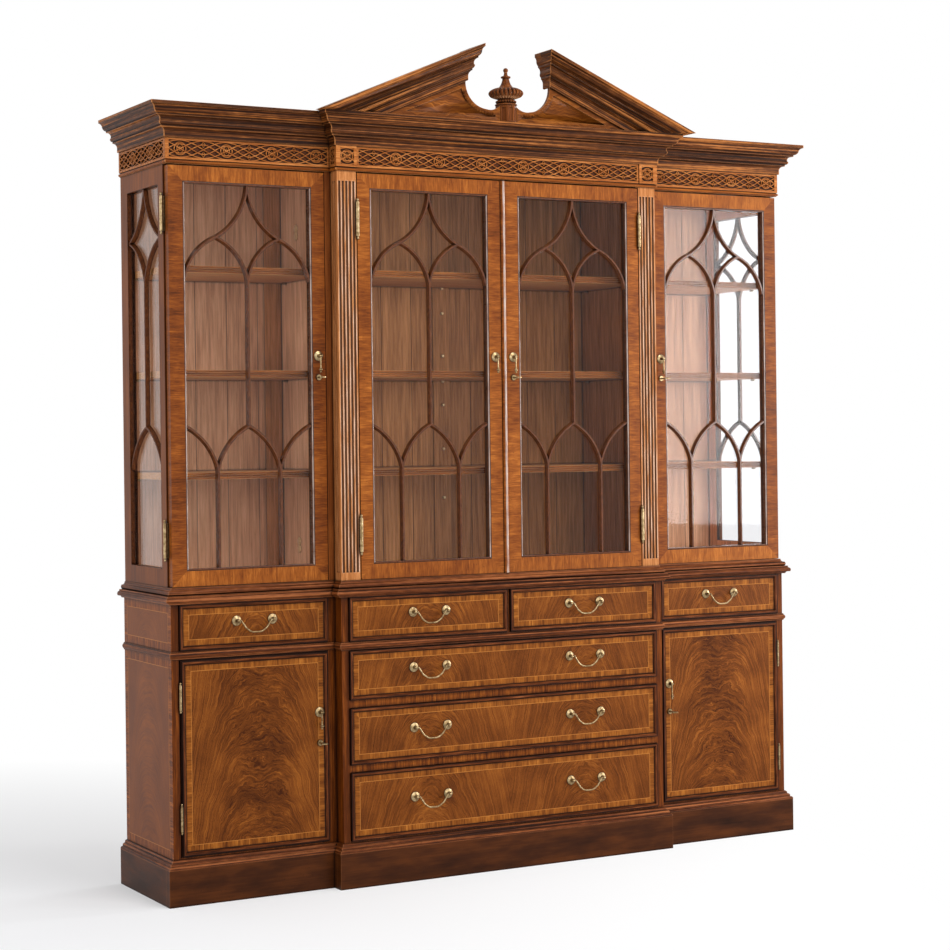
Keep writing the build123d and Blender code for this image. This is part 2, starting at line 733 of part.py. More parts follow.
def bail_rosettes(x, depth, z):
    # Pair of rosettes whose posts hold the ends of one bail
    head_start = pull_pivot_out - math.sqrt(post_head_radius ** 2 - post_radius ** 2)
    points = [(0, 0), (rosette_radius, 0), (rosette_radius, rosette_rim), (rosette_neck, rosette_dome),
              (post_radius, rosette_dome), (post_radius, head_start),
              ((post_head_radius, pull_pivot_out), (0, pull_pivot_out + post_head_radius))]
    pair = []
    for side in (-1, 1):
        inner = x + side * (bail_shoulder_x - overrun)
        outer = x + side * (bail_shoulder_x + bail_pin_length + bore_relief)
        hole = rod_across(bail_pin_radius + running_clearance, inner, outer, depth + pull_pivot_out, z)
        pair.append(turned_forward(points, x + side * pull_half_spacing, depth, z) - hole)
    return pair


def make_bail(x, depth, z):
    # Swan-neck bail: a bent wire whose ends turn outwards into the posts
    points = [(-bail_shoulder_x, 0), (-bail_elbow_x, -bail_elbow_drop), (-bail_foot_x, -bail_drop),
              (bail_foot_x, -bail_drop), (bail_elbow_x, -bail_elbow_drop), (bail_shoulder_x, 0)]
    radii = [bail_elbow_bend, bail_foot_bend, bail_foot_bend, bail_elbow_bend]
    pivot = Vector(x, y_at(depth + pull_pivot_out), z)
    path = FilletPolyline(*[pivot + Vector(a, 0, b) for a, b in points], radius=radii)
    plane = Plane(origin=path @ 0, z_dir=path % 0)
    wire = sweep(plane * Circle(bail_radius), path)
    for side in (-1, 1):
        shoulder = x + side * bail_shoulder_x
        wire += Pos(shoulder, pivot.Y, z) * Sphere(bail_radius)
        wire += rod_across(bail_pin_radius, shoulder, shoulder + side * bail_pin_length,
                           depth + pull_pivot_out, z)
    return wire


def drop_rosette(x, depth, z):
    # Rosette whose post ends in a fork with a cross pin
    pivot = depth + drop_pivot_out
    plate = rosette(x, depth, z) + rod_forward(post_radius, x, depth, pivot - fork_radius - eye_radius / 4, z)
    for side in (-1, 1):
        near = x + side * fork_half_gap
        far = x + side * (fork_half_gap + fork_cheek)
        plate += block(near, far, depth + rosette_dome / 2, pivot, z - fork_radius, z + fork_radius)
        plate += rod_across(fork_radius, near, far, pivot, z)
    width = fork_half_gap + fork_cheek
    plate += rod_across(drop_pin_radius, x - width, x + width, pivot, z)
    return plate


def make_drop(x, depth, z):
    # Pendant that hangs from the fork's pin by its eye
    pivot = depth + drop_pivot_out
    points = mapped(drop_shares, lambda a, b: (a * drop_collar_radius, -b * drop_length))
    stem = revolved(points, x, pivot, z)
    stem += Pos(x, y_at(pivot), z - drop_length + drop_ball_radius) * Sphere(drop_ball_radius)
    eye = rod_across(eye_radius, x - eye_half_width, x + eye_half_width, pivot, z)
    hole = rod_across(drop_pin_radius + running_clearance, x - eye_radius, x + eye_radius, pivot, z)
    return stem + eye - hole


def escutcheon(x, depth, z):
    plate = rod_forward(escutcheon_radius, x, depth, depth + escutcheon_thickness, z)
    hole = rod_forward(key_radius + running_clearance, x, depth, depth + escutcheon_thickness + overrun, z)
    return plate - hole


def make_key(x, depth, z):
    # Key in its lock, with a flat oval bow lying level
    start = depth + escutcheon_thickness - key_seat
    bow_start = start + key_shank
    shank = rod_forward(key_radius, x, start, bow_start + key_radius, z)
    collar_start = bow_start - key_collar_length
    shank += rod_forward(key_collar_radius, x, collar_start, bow_start, z)
    middle = Vector(x, y_at(bow_start + key_bow_length / 2), z - key_bow_thickness / 2)
    bow = Pos(*middle) * extrude(Ellipse(key_bow_width / 2, key_bow_length / 2), key_bow_thickness)
    hole = Pos(*middle) * extrude(Circle(key_bow_hole_radius), key_bow_thickness)
    return shank + (bow - hole)


def bordered_front(x0, x1, z0, z1, face, lip):
    # Veneered front: a flat board with four mitred edge mouldings that stand proud of the field
    field = face + field_out
    left, right, low, high = x0 + lip, x1 - lip, z0 + lip, z1 - lip
    outer = [(left, low), (right, low), (right, high), (left, high)]
    inward = [(1, 1), (-1, 1), (-1, -1), (1, -1)]
    crest_width = border_width - border_chamfer
    foot = [(x + border_width * sx, z + border_width * sz) for (x, z), (sx, sz) in zip(outer, inward)]
    crest = [(x + crest_width * sx, z + crest_width * sz) for (x, z), (sx, sz) in zip(outer, inward)]
    low_plane = Plane(origin=(0, y_at(field), 0), x_dir=(1, 0, 0), z_dir=(0, -1, 0))
    high_plane = low_plane.offset(border_out)
    pieces = [block(x0, x1, field - front_board, field, z0, z1)]
    for here, following in ((0, 1), (1, 2), (2, 3), (3, 0)):
        edge = [outer[here], outer[following]]
        seat = low_plane * make_face(outline_edges(edge + [foot[following], foot[here]]))
        top = high_plane * make_face(outline_edges(edge + [crest[following], crest[here]]))
        pieces.append(loft([seat, top], ruled=True))
    return pieces


def make_drawer(x0, x1, z0, z1, face):
    # Drawer in an opening: a front, and a box whose sides run on the rail below
    left, right = x0 + front_gap, x1 - front_gap
    low, high = z0 + front_gap, z1 - front_gap
    pieces = bordered_front(left, right, low, high, face, 0)
    box_front = face + field_out - front_board
    box_back = back_board + back_air + box_back_space
    box_left = x0 + box_side_gap
    box_right = x1 - box_side_gap
    box_low = z0 + runner_gap
    box_high = z1 - box_height_drop
    pieces.append(block(box_left, box_left + box_board, box_back, box_front, box_low, box_high))
    pieces.append(block(box_right - box_board, box_right, box_back, box_front, box_low, box_high))
    pieces.append(block(box_left + box_board, box_right - box_board, box_back, box_back + box_board,
                        box_low, box_high))
    pieces.append(block(box_left + box_board, box_right - box_board, box_back + box_board, box_front,
                        box_low + box_bottom_board, box_low + 2 * box_bottom_board))
    return pieces


def glazed_door(x0, x1, left, right, front, bead_side):
    # Frame boards, tracery and pane of one glazed door; a bead closes the gap between the centre doors
    low = door_sill + front_gap
    high = frieze_bottom - door_top_gap
    wood = flat_frame(x0, x1, low, high, left, right, glass_bottom, glass_top, front)
    bars_back = front - bar_setback - bar_height
    bars = glazing_bars(right - left, glass_height, door_bar_shares)
    wood.append(Pos((left + right) / 2, y_at(bars_back), glass_top) * bars)
    pane = block(left, right, bars_back - glass_thickness, bars_back, glass_bottom, glass_top)
    if bead_side:
        edge = x0 if bead_side < 0 else x1
        tip = edge + bead_side * 2 * meeting_half_bead
        back = front - glazed_thickness
        points = [(edge, back), (edge, front), (((edge + tip) / 2, front + meeting_bead_out), (tip, front)),
                  (tip, back)]
        flat = [(p[0], y_at(p[1])) if not isinstance(p[0], tuple) else
                ((p[0][0], y_at(p[0][1])), (p[1][0], y_at(p[1][1]))) for p in points]
        wood.append(extrude(Pos(0, 0, low) * make_face(outline_edges(flat)), high - low))
    return wood, pane


nodes = {
    "plinth": make_plinth(),
    "base_case": make_base_case(),
    "case_mouldings": make_case_mouldings(),
    "upper_case": make_upper_case(),
    "shelves": make_shelves(),
    "cornice": make_cornice(),
    "pediment": make_pediment(),
    "side_glass": [],
    "case_brass": [],
}

# Side panes, behind the tracery
for side in (-1, 1):
    pane_outer = upper_half_width - bar_setback - bar_height
    nodes["side_glass"].append(block(side * (pane_outer - glass_thickness), side * pane_outer, side_rear_stile,
                                     carcass_front - side_front_stile, glass_bottom, glass_top))

# Shelf pins: two under each end of each shelf
bay_ends = []
for side in (-1, 1):
    bay_ends.append((side * (upper_half_width - board), -side, wing_shelf_depth))
    bay_ends.append((side * upper_break_half, side, wing_shelf_depth))
    bay_ends.append((side * (upper_break_half - board), -side, centre_shelf_depth))
for top in shelf_levels:
    for wall_x, inward, shelf_depth in bay_ends:
        for pin_depth in (shelf_pin_inset, shelf_depth - shelf_pin_inset):
            nodes["case_brass"].append(block(
                wall_x, wall_x + inward * shelf_pin_reach, pin_depth - shelf_pin_size / 2,
                pin_depth + shelf_pin_size / 2, top - shelf_thickness - shelf_pin_size, top - shelf_thickness))

# Drawers: opening, face depth, space kept at each side of the box, and pull places
wing_inner = break_half_width + wing_stile
wing_outer = case_half_width - board
centre_inner = break_half_width - board
half_pull = (half_divider / 2 + centre_inner) / 2
wing_pull = (wing_inner + wing_outer) / 2
drawers = {
    "left_drawer": (-wing_outer, -wing_inner, middle_rail_top, lower_case_top, wing_depth, [-wing_pull]),
    "half_drawer_left": (-centre_inner, -half_divider / 2, middle_rail_top, lower_case_top, centre_depth,
                         [-half_pull]),
    "half_drawer_right": (half_divider / 2, centre_inner, middle_rail_top, lower_case_top, centre_depth,
                          [half_pull]),
    "right_drawer": (wing_inner, wing_outer, middle_rail_top, lower_case_top, wing_depth, [wing_pull]),
    "wide_drawer_upper": (-centre_inner, centre_inner, high_rail_top, middle_rail_bottom, centre_depth,
                          [-half_pull, half_pull]),
    "wide_drawer_middle": (-centre_inner, centre_inner, low_rail_top, high_rail_bottom, centre_depth,
                           [-half_pull, half_pull]),
    "wide_drawer_lower": (-centre_inner, centre_inner, opening_bottom, low_rail_bottom, centre_depth,
                          [-half_pull, half_pull]),
}
for name, (x0, x1, z0, z1, face, pulls) in drawers.items():
    nodes[name] = make_drawer(x0, x1, z0, z1, face)
    pull_level = (z0 + z1) / 2 + pull_rise
    pull_depth = face + field_out
    nodes[name + "_rosettes"] = []
    for number, pull_x in enumerate(pulls):
        nodes[name + "_rosettes"] += bail_rosettes(pull_x, pull_depth, pull_level)
        suffix = "" if len(pulls) == 1 else ("_left", "_right")[number]
        nodes[name + "_bail" + suffix] = [make_bail(pull_x, pull_depth, pull_level)]

# Glazed doors: name, edges, opening, face depth, bead, pull place and whether it has a key
meeting_edge = meeting_half_bead
centre_hinge_x = pilaster_inner - hinge_joint_gap
glazed_doors = {
    "left_glazed_door": (-wing_door_outer, -wing_door_inner, -wing_door_outer + frame_width,
                         -wing_door_inner - frame_width + hinge_joint_gap, upper_wing_depth, 0,
                         -wing_pull_x, True, -1),
    "centre_left_glazed_door": (-centre_hinge_x, -meeting_edge - front_gap, -pilaster_inner + frame_width,
                                -meeting_edge - frame_width, upper_centre_depth, 0,
                                -centre_pull_x, False, -1),
    "centre_right_glazed_door": (meeting_edge, centre_hinge_x, meeting_edge + frame_width,
                                 pilaster_inner - frame_width, upper_centre_depth, -1,
                                 centre_pull_x, True, 1),
    "right_glazed_door": (wing_door_inner, wing_door_outer, wing_door_inner + frame_width - hinge_joint_gap,
                          wing_door_outer - frame_width, upper_wing_depth, 0,
                          wing_pull_x, True, 1),
}
towards_wall = Vector(0, 1, 0)
towards_room = Vector(0, -1, 0)
for name, (x0, x1, left, right, front, bead, pull_x, has_key, side) in glazed_doors.items():
    wood, pane = glazed_door(x0, x1, left, right, front, bead)
    nodes[name] = wood
    nodes[name + "_glass"] = [pane]
    brass = [drop_rosette(pull_x, front, upper_pull_level)]
    nodes[name + "_drop"] = [make_drop(pull_x, front, upper_pull_level)]
    if has_key:
        brass.append(escutcheon(pull_x, front, upper_key_level))
        nodes[name + "_key"] = [make_key(pull_x, front, upper_key_level)]
    inward = Vector(-side, 0, 0)
    for level in upper_hinge_levels:
        if front == upper_wing_depth:
            hinge_x = side * (upper_half_width + barrel_radius + barrel_clearance)
            hinge_depth = carcass_front + hinge_joint_gap / 2
            fixed, moving = hinge(hinge_x, hinge_depth, level, inward, towards_room, barrel_radius,
                                  barrel_length, finial_ball_radius)
        else:
            hinge_x = side * (pilaster_inner - hinge_joint_gap / 2)
            hinge_depth = front + barrel_radius + barrel_clearance
            fixed, moving = hinge(hinge_x, hinge_depth, level, towards_wall, inward, barrel_radius,
                                  barrel_length, finial_ball_radius)
        nodes["case_brass"].append(fixed)
        brass.append(moving)
    nodes[name + "_brass"] = brass

# Cupboard doors of the lower case
for name, side in (("left_cupboard_door", -1), ("right_cupboard_door", 1)):
    hinge_edge = side * (wing_outer - hinge_joint_gap)
    free_edge = side * (wing_inner + front_gap)
    x0, x1 = min(hinge_edge, free_edge), max(hinge_edge, free_edge)
    nodes[name] = bordered_front(x0, x1, opening_bottom + front_gap, middle_rail_bottom - front_gap,
                                 wing_depth, cupboard_border_lip)
    field = wing_depth + field_out
    pull_x = side * (wing_inner + front_gap + cupboard_border_lip + border_width + rosette_radius
                     + lower_pull_gap)
    brass = [drop_rosette(pull_x, field, lower_pull_level), escutcheon(pull_x, field, lower_key_level)]
    nodes[name + "_drop"] = [make_drop(pull_x, field, lower_pull_level)]
    nodes[name + "_key"] = [make_key(pull_x, field, lower_key_level)]
    for level in lower_hinge_levels:
        fixed, moving = hinge(side * (wing_outer - hinge_joint_gap / 2),
                              field + butt_radius + barrel_clearance, level, towards_wall,
                              Vector(-side, 0, 0), butt_radius, butt_length, butt_ball_radius)
        nodes["case_brass"].append(fixed)
        brass.append(moving)
    nodes[name + "_brass"] = brass

os.makedirs("parts", exist_ok=True)
for name, pieces in nodes.items():
    solids = []
    for piece in pieces:
        solids += piece.solids()
    export_step(Compound(children=solids), f"parts/{name}.step")
print(len(nodes), "nodes")
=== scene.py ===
import bpy
import bmesh
import json
from math import cos, pi, radians, sin
from mathutils import Matrix, Vector

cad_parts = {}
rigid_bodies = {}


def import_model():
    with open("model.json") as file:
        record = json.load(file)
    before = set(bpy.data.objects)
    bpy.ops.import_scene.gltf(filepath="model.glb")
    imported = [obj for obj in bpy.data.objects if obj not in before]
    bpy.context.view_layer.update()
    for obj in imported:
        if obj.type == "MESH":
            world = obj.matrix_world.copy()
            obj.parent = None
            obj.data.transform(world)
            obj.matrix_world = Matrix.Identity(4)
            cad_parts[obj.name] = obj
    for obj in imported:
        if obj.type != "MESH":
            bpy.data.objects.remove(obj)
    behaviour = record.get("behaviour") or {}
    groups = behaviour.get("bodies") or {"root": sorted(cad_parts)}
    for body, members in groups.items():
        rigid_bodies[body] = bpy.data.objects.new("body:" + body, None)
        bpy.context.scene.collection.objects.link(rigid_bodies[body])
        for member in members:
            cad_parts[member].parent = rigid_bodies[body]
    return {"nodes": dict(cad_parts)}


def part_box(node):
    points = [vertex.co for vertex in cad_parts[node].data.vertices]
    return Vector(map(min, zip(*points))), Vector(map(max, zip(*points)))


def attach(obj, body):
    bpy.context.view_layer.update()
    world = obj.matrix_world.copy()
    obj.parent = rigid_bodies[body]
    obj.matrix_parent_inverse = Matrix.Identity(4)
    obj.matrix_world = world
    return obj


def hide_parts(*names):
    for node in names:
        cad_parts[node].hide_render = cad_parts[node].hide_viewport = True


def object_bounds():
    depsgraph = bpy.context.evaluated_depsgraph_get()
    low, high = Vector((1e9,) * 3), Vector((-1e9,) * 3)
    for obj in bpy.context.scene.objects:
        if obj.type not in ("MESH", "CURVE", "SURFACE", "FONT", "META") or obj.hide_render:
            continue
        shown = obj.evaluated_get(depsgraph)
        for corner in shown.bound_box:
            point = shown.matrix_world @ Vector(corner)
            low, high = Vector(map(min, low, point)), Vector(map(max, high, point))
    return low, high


# Breakfront display cabinet. Sizes in the settings are millimetres, Blender works in metres.
# A depth is counted from the wall towards the room, as a maker would measure it.
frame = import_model()
cadBox = [list(corner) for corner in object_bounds()]
mm = 0.001
white = (1, 1, 1, 1)
# the wall stands behind the cabinet; the raking cornices come furthest into the room
wall = cadBox[1][1] / mm
rakeFace = wall - cadBox[0][1] / mm


def at(x, depth, z):
    return Vector((x * mm, (wall - depth) * mm, z * mm))


# camera, floor and lamps, with their places in metres
cameraSettings = {"place": (-3.0181, -5.2438, 1.2183), "yaw": 28.859, "fall": 0.00104,
                  "roll": -0.01209, "lens": 79.492, "sensor": 36.0, "shift": (0.03514, -0.03807),
                  "reach": 200.0}
floorSettings = {"size": 60.0, "colour": (0.89, 0.90, 0.92, 1), "middle": (-1.7, 0.1, 0.0),
                 "near": 0.5, "far": 2.7, "whiteNear": 0.22, "ambient": 0.50}
lampSettings = [
    # name, place, aim, width and height, power, colour
    ("keyLamp", (3.75, -3.3, 1.60), (0.2, 0.0, 1.3), (1.6, 1.7), 74, (1.0, 0.99, 0.99)),
    ("topLamp", (0.7, -3.4, 4.6), (0.0, 0.0, 1.1), (2.4, 2.4), 105, (1.0, 0.99, 0.98)),
    ("frontLamp", (-0.6, -5.6, 2.3), (0.0, 0.0, 1.2), (2.6, 2.6), 50, (1.0, 0.99, 0.98)),
    ("windowLamp", (3.6, 0.9, 1.9), (0.7, 0.1, 1.5), (1.6, 1.6), 55, (1.0, 1.0, 1.0)),
    ("leftLamp", (-3.6, -0.1, 1.7), (-0.7, 0.05, 1.4), (1.2, 1.8), 26, (1.0, 0.99, 0.99)),
    ("stripLamp", (4.6, -0.9, 1.35), (0.0, -0.2, 1.35), (0.35, 2.4), 80, (1.0, 1.0, 1.0))]


def addCamera(s):
    yaw = radians(s["yaw"])
    ahead = Vector((sin(yaw), cos(yaw), -s["fall"])).normalized()
    flat = Vector((cos(yaw), -sin(yaw), 0))
    upward = flat.cross(ahead)
    cosine, sine = cos(s["roll"]), sin(s["roll"])
    across = cosine * flat + sine * upward
    up = -sine * flat + cosine * upward
    bpy.ops.object.camera_add(location=s["place"])
    camera = bpy.context.object
    camera.name = "photoCamera"
    turn = Matrix((across, up, -ahead)).transposed().to_4x4()
    camera.matrix_world = Matrix.Translation(s["place"]) @ turn
    camera.data.lens = s["lens"]
    camera.data.sensor_width = s["sensor"]
    camera.data.shift_x, camera.data.shift_y = s["shift"]
    camera.data.clip_end = s["reach"]
    bpy.context.scene.camera = camera


def addLamps():
    for name, place, aim, size, power, colour in lampSettings:
        bpy.ops.object.light_add(type="AREA", location=place)
        lamp = bpy.context.object
        lamp.name = name
        lamp.data.shape = "RECTANGLE"
        lamp.data.size, lamp.data.size_y = size
        lamp.data.energy = power
        lamp.data.color = colour
        lamp.rotation_euler = (Vector(aim) - Vector(place)).to_track_quat("-Z", "Y").to_euler()


class Feed:
    # a value on its way through one material's nodes
    def __init__(self, bench, socket):
        self.bench = bench
        self.socket = socket

    def __rsub__(self, other):
        return self.bench.maths("SUBTRACT", other, self)

    def __abs__(self):
        return self.bench.maths("ABSOLUTE", self)


for sign, operation in (("add", "ADD"), ("radd", "ADD"), ("sub", "SUBTRACT"), ("mul", "MULTIPLY"),
                        ("rmul", "MULTIPLY"), ("truediv", "DIVIDE"), ("pow", "POWER"),
                        ("lt", "LESS_THAN")):
    setattr(Feed, "__" + sign + "__", lambda a, b, kind=operation: a.bench.maths(kind, a, b))


class Bench:
    # one material and the nodes it is put together from
    def __init__(self, name, tree=None):
        if tree is None:
            self.material = bpy.data.materials.new(name)
            self.material.use_nodes = True
            tree = self.material.node_tree
        self.tree = tree
        self.tree.nodes.clear()

    def node(self, kind, settings=None, sockets=None, out=0):
        made = self.tree.nodes.new("ShaderNode" + kind)
        for key, value in (settings or {}).items():
            if key == "stops":
                ramp = made.color_ramp
                while len(ramp.elements) < len(value):
                    ramp.elements.new(0.5)
                for element, (spot, *colour) in zip(ramp.elements, value):
                    element.position = spot
                    element.color = (*colour, 1)
            else:
                setattr(made, key, value)
        for key, value in (sockets or {}).items():
            if isinstance(value, Feed):
                self.tree.links.new(value.socket, made.inputs[key])
            else:
                made.inputs[key].default_value = value
        return Feed(self, made.outputs[out])

    def maths(self, operation, a, b=0.0, clamp=False):
        return self.node("Math", {"operation": operation, "use_clamp": clamp}, {0: a, 1: b})

    def clamp(self, value):
        return self.maths("ADD", value, 0.0, True)

    def least(self, a, b):
        return self.maths("MINIMUM", a, b)

    def most(self, a, b):
        return self.maths("MAXIMUM", a, b)

    def step(self, value, edge, soft=0.4):
        # 0 below the edge and 1 above it
        return self.clamp((value - edge) / soft + 0.5)

    def inward(self, value, low, high):
        # how far inside a span, less than 0 outside it
        return self.least(value - low, high - value)

    def within(self, value, low, high, soft=0.4):
        return self.clamp(self.inward(value, low, high) / soft + 0.5)

    def framed(self, fromSide, fromEnd, x, z):
        # a framed panel: whether a stile is nearest, how far in, across and along the fibres
        upright = fromSide < fromEnd
        return (upright, self.least(fromSide, fromEnd), self.choose(upright, x, z),
                self.choose(upright, z, x))

    def mix(self, share, a, b):
        a, b = [(*c, 1) if isinstance(c, tuple) and len(c) == 3 else c for c in (a, b)]
        return self.node("Mix", {"data_type": "RGBA"}, {0: share, 6: a, 7: b}, 2)

    def choose(self, share, a, b):
        return a + (b - a) * share

    def places(self):
        # across, depth from the wall and height, in millimetres
        spot = self.node("TexCoord", out="Object")
        x, y, z = [self.node("SeparateXYZ", None, {0: spot}, axis) * 1000 for axis in range(3)]
        return x, wall - y, z

    def outward(self):
        facing = self.node("NewGeometry", out="True Normal")
        return [self.node("SeparateXYZ", None, {0: facing}, axis) for axis in range(3)]

    def noise(self, a, b, c, detail=3.0, rough=0.55, distortion=0.0):
        spot = self.node("CombineXYZ", None, {0: a, 1: b, 2: c})
        return self.node("TexNoise", None, {"Vector": spot, "Scale": 1.0, "Detail": detail,
                                            "Roughness": rough, "Distortion": distortion})

    def ramp(self, value, stops):
        return self.node("ValToRGB", {"stops": stops}, {0: value})

    def wood(self, value, tone):
        return self.ramp(value, timbers[tone])

    def shader(self, colour, rough=0.35, height=None, strength=0.3, reach=0.0006, **fixed):
        sockets = {"Base Color": colour, "Roughness": rough}
        for key, value in fixed.items():
            sockets[key.replace("_", " ")] = value
        if height is not None:
            sockets["Normal"] = self.node("Bump", None, {"Strength": strength, "Distance": reach,
                                                         "Height": height})
        self.lay(self.node("BsdfPrincipled", None, sockets))
        return self.material

    def lay(self, made, kind="Material"):
        # the finished shader goes to the output
        output = self.tree.nodes.new("ShaderNodeOutput" + kind)
        self.tree.links.new(made.socket, output.inputs["Surface"])

    def seen(self):
        # 1 on the rays that show a surface, 0 on those that only light others
        rays = [self.node("LightPath", out=ray) for ray in
                ("Is Camera Ray", "Is Glossy Ray", "Is Transmission Ray")]
        return self.clamp(rays[0] + rays[1] + rays[2])


def laidOut(name):
    # a new material on its bench, and the place of every point of the piece
    bench = Bench(name)
    return bench, *bench.places()


def addStage(s):
    # pale floor that fades into a white backdrop, and even light from all round
    bpy.ops.mesh.primitive_plane_add(size=s["size"], location=(0, 0, 0))
    floor = bpy.context.object
    floor.name = "studioFloor"
    bench = Bench("paleFloor")
    spot = bench.node("TexCoord", out="Object")
    away = bench.node("VectorMath", {"operation": "DISTANCE"}, {0: spot, 1: s["middle"]}, "Value")
    fade = bench.clamp((away - s["near"]) / (s["far"] - s["near"]))
    share = bench.seen() * (s["whiteNear"] + fade * (1 - s["whiteNear"]))
    matt = bench.node("BsdfDiffuse", None, {"Color": s["colour"]})
    glow = bench.node("Emission", None, {"Color": white, "Strength": 1.0})
    bench.lay(bench.node("MixShader", None, {0: share, 1: matt, 2: glow}))
    floor.data.materials.append(bench.material)

    world = bpy.data.worlds.new("studioAir")
    bpy.context.scene.world = world
    world.use_nodes = True
    bench = Bench("", world.node_tree)
    ambient = bench.node("Background", None, {"Color": white, "Strength": s["ambient"]})
    backdrop = bench.node("Background", None, {"Color": white, "Strength": 1.0})
    bench.lay(bench.node("MixShader", None, {0: bench.seen(), 1: ambient, 2: backdrop}), "World")
    bpy.context.scene.view_settings.view_transform = "Standard"


# tones of each timber, from its dark pores to its pale fibres
timbers = {
    "flame": [(0.28, 0.05, 0.011, 0.001), (0.44, 0.125, 0.032, 0.0035),
              (0.56, 0.205, 0.057, 0.0065), (0.74, 0.37, 0.12, 0.016)],
    "band": [(0.28, 0.09, 0.022, 0.002), (0.46, 0.205, 0.058, 0.007), (0.6, 0.32, 0.102, 0.013),
             (0.76, 0.5, 0.185, 0.03)],
    "straight": [(0.28, 0.06, 0.014, 0.002), (0.46, 0.135, 0.034, 0.006),
                 (0.6, 0.215, 0.06, 0.011), (0.76, 0.34, 0.108, 0.024)],
    "cornice": [(0.26, 0.016, 0.004, 0.001), (0.44, 0.065, 0.018, 0.004),
                (0.6, 0.15, 0.045, 0.01), (0.78, 0.44, 0.155, 0.036)],
    "moulding": [(0.26, 0.022, 0.005, 0.001), (0.44, 0.085, 0.02, 0.004),
                 (0.58, 0.16, 0.042, 0.01), (0.78, 0.34, 0.11, 0.034)],
    "plinth": [(0.26, 0.014, 0.004, 0.001), (0.5, 0.046, 0.012, 0.0025),
               (0.76, 0.1, 0.027, 0.005)],
    "bars": [(0.28, 0.035, 0.009, 0.002), (0.5, 0.095, 0.025, 0.006), (0.75, 0.19, 0.058, 0.015)],
    "veneer": [(0.26, 0.08, 0.017, 0.0015), (0.44, 0.18, 0.042, 0.004),
               (0.58, 0.275, 0.074, 0.008), (0.76, 0.46, 0.145, 0.02)],
    "fret": [(0.26, 0.21, 0.054, 0.01), (0.5, 0.37, 0.115, 0.023), (0.75, 0.62, 0.245, 0.07)],
    "pilaster": [(0.26, 0.26, 0.08, 0.018), (0.5, 0.44, 0.16, 0.045), (0.75, 0.66, 0.29, 0.11)],
    "inside": [(0.26, 0.29, 0.12, 0.036), (0.5, 0.49, 0.215, 0.07), (0.76, 0.7, 0.34, 0.125)],
    # painted light: the paler inside of the wing bays
    "wingLit": [(0.26, 0.43, 0.215, 0.11), (0.5, 0.66, 0.36, 0.195), (0.76, 0.86, 0.52, 0.31)],
    "lining": [(0.28, 0.23, 0.12, 0.05), (0.5, 0.33, 0.19, 0.085), (0.74, 0.42, 0.26, 0.13)]}
stringing = (0.52, 0.20, 0.040)
# dark tone of the specks, and of the painted shade in hollows and along the fronts' rims and
# grooves
speckAndShadeTone = (0.008, 0.003, 0.002)
gloss = {"Specular_IOR_Level": 0.09}
# width and length of the fibres on a glazing bar
barFibre = (2.5, 45)


fibreSettings = {"broad": 0.5, "fine": 1.1, "poreStart": 0.60, "poreGain": 7, "poreShade": 0.12,
                 "poreWidth": 0.33, "poreRun": 0.3}


def fibres(bench, across, along, through, width, run, seed):
    # long shading, fine fibres and the dark pores between them
    s = fibreSettings
    broad = bench.noise(across / (width * 4) + seed, along / (run * 4), through / (width * 4), 2)
    fine = bench.noise(across / width, along / run + seed, through / width, 4, 0.66)
    thin = width * s["poreWidth"]
    pores = bench.noise(across / thin, along / (run * s["poreRun"]), through / thin + seed, 2, 0.6)
    dark = bench.clamp((pores - s["poreStart"]) * s["poreGain"])
    figure = 0.5 + (broad - 0.5) * s["broad"] + (fine - 0.5) * s["fine"] - dark * s["poreShade"]
    return figure, dark


lineSettings = {"fine": (4.4, 700, 1.6), "broad": (15, 900, 0.4), "worn": (5, 34, 0.4)}


def drawnLines(bench, across, along, seed):
    # mouldings show as many thin light and dark lines along their length
    (width, run, share), (wide, far, less), (worn, near, rest) = lineSettings.values()
    fine = bench.noise(across / width, along / run, seed, 2, 0.6)
    broad = bench.noise(across / wide, along / far, seed + 3, 1)
    patchy = bench.noise(across / worn, along / near, seed + 6, 2)
    return 0.5 + (fine - 0.5) * share + (broad - 0.5) * less + (patchy - 0.5) * rest


wearAndLightSettings = {
    # shade where it begins, its gain, and what the shading node is told; 'hollow' is painted shade
    # in the hollows, 'edge' a painted highlight on sharp edges
    "hollow": (0.92, 2.6, {"samples": 6}),
    "edge": (0.86, 1.6, {"samples": 4, "inside": True, "only_local": True}),
    "rubHighlightReach": 2.2, "rubHighlightTone": (0.50, 0.25, 0.12), "speckSize": 2.6, "speckStart": 0.79,
    "speckGain": 14, "speckShare": 0.85, "patchSize": 60, "patchStart": 0.52}


def shaded(bench, kind, reach, strength):
    # painted shade darkens the hollows, where old wax also gathers; along sharp edges a painted
    # highlight, where the finish is also worn thin
    start, gain, told = wearAndLightSettings[kind]
    shade = bench.node("AmbientOcclusion", told, {"Distance": reach * mm}, "AO")
    return bench.clamp((start - shade) * gain) * strength


# painted highlight along sharp edges, where the finish is also worn
def rubbedHighlight(bench, strength):
    return shaded(bench, "edge", wearAndLightSettings["rubHighlightReach"], strength)


def pinholes(bench, x, depth, z):
    # sparse dark specks of an aged surface
    s = wearAndLightSettings
    size, patch = s["speckSize"], s["patchSize"]
    speck = bench.noise(x / size, z / size, depth / size, 0)
    spread = bench.noise(x / patch, z / patch, depth / patch, 1)
    return bench.clamp((speck - s["speckStart"]) * s["speckGain"]) * \
        bench.step(spread, s["patchStart"], 0.05)


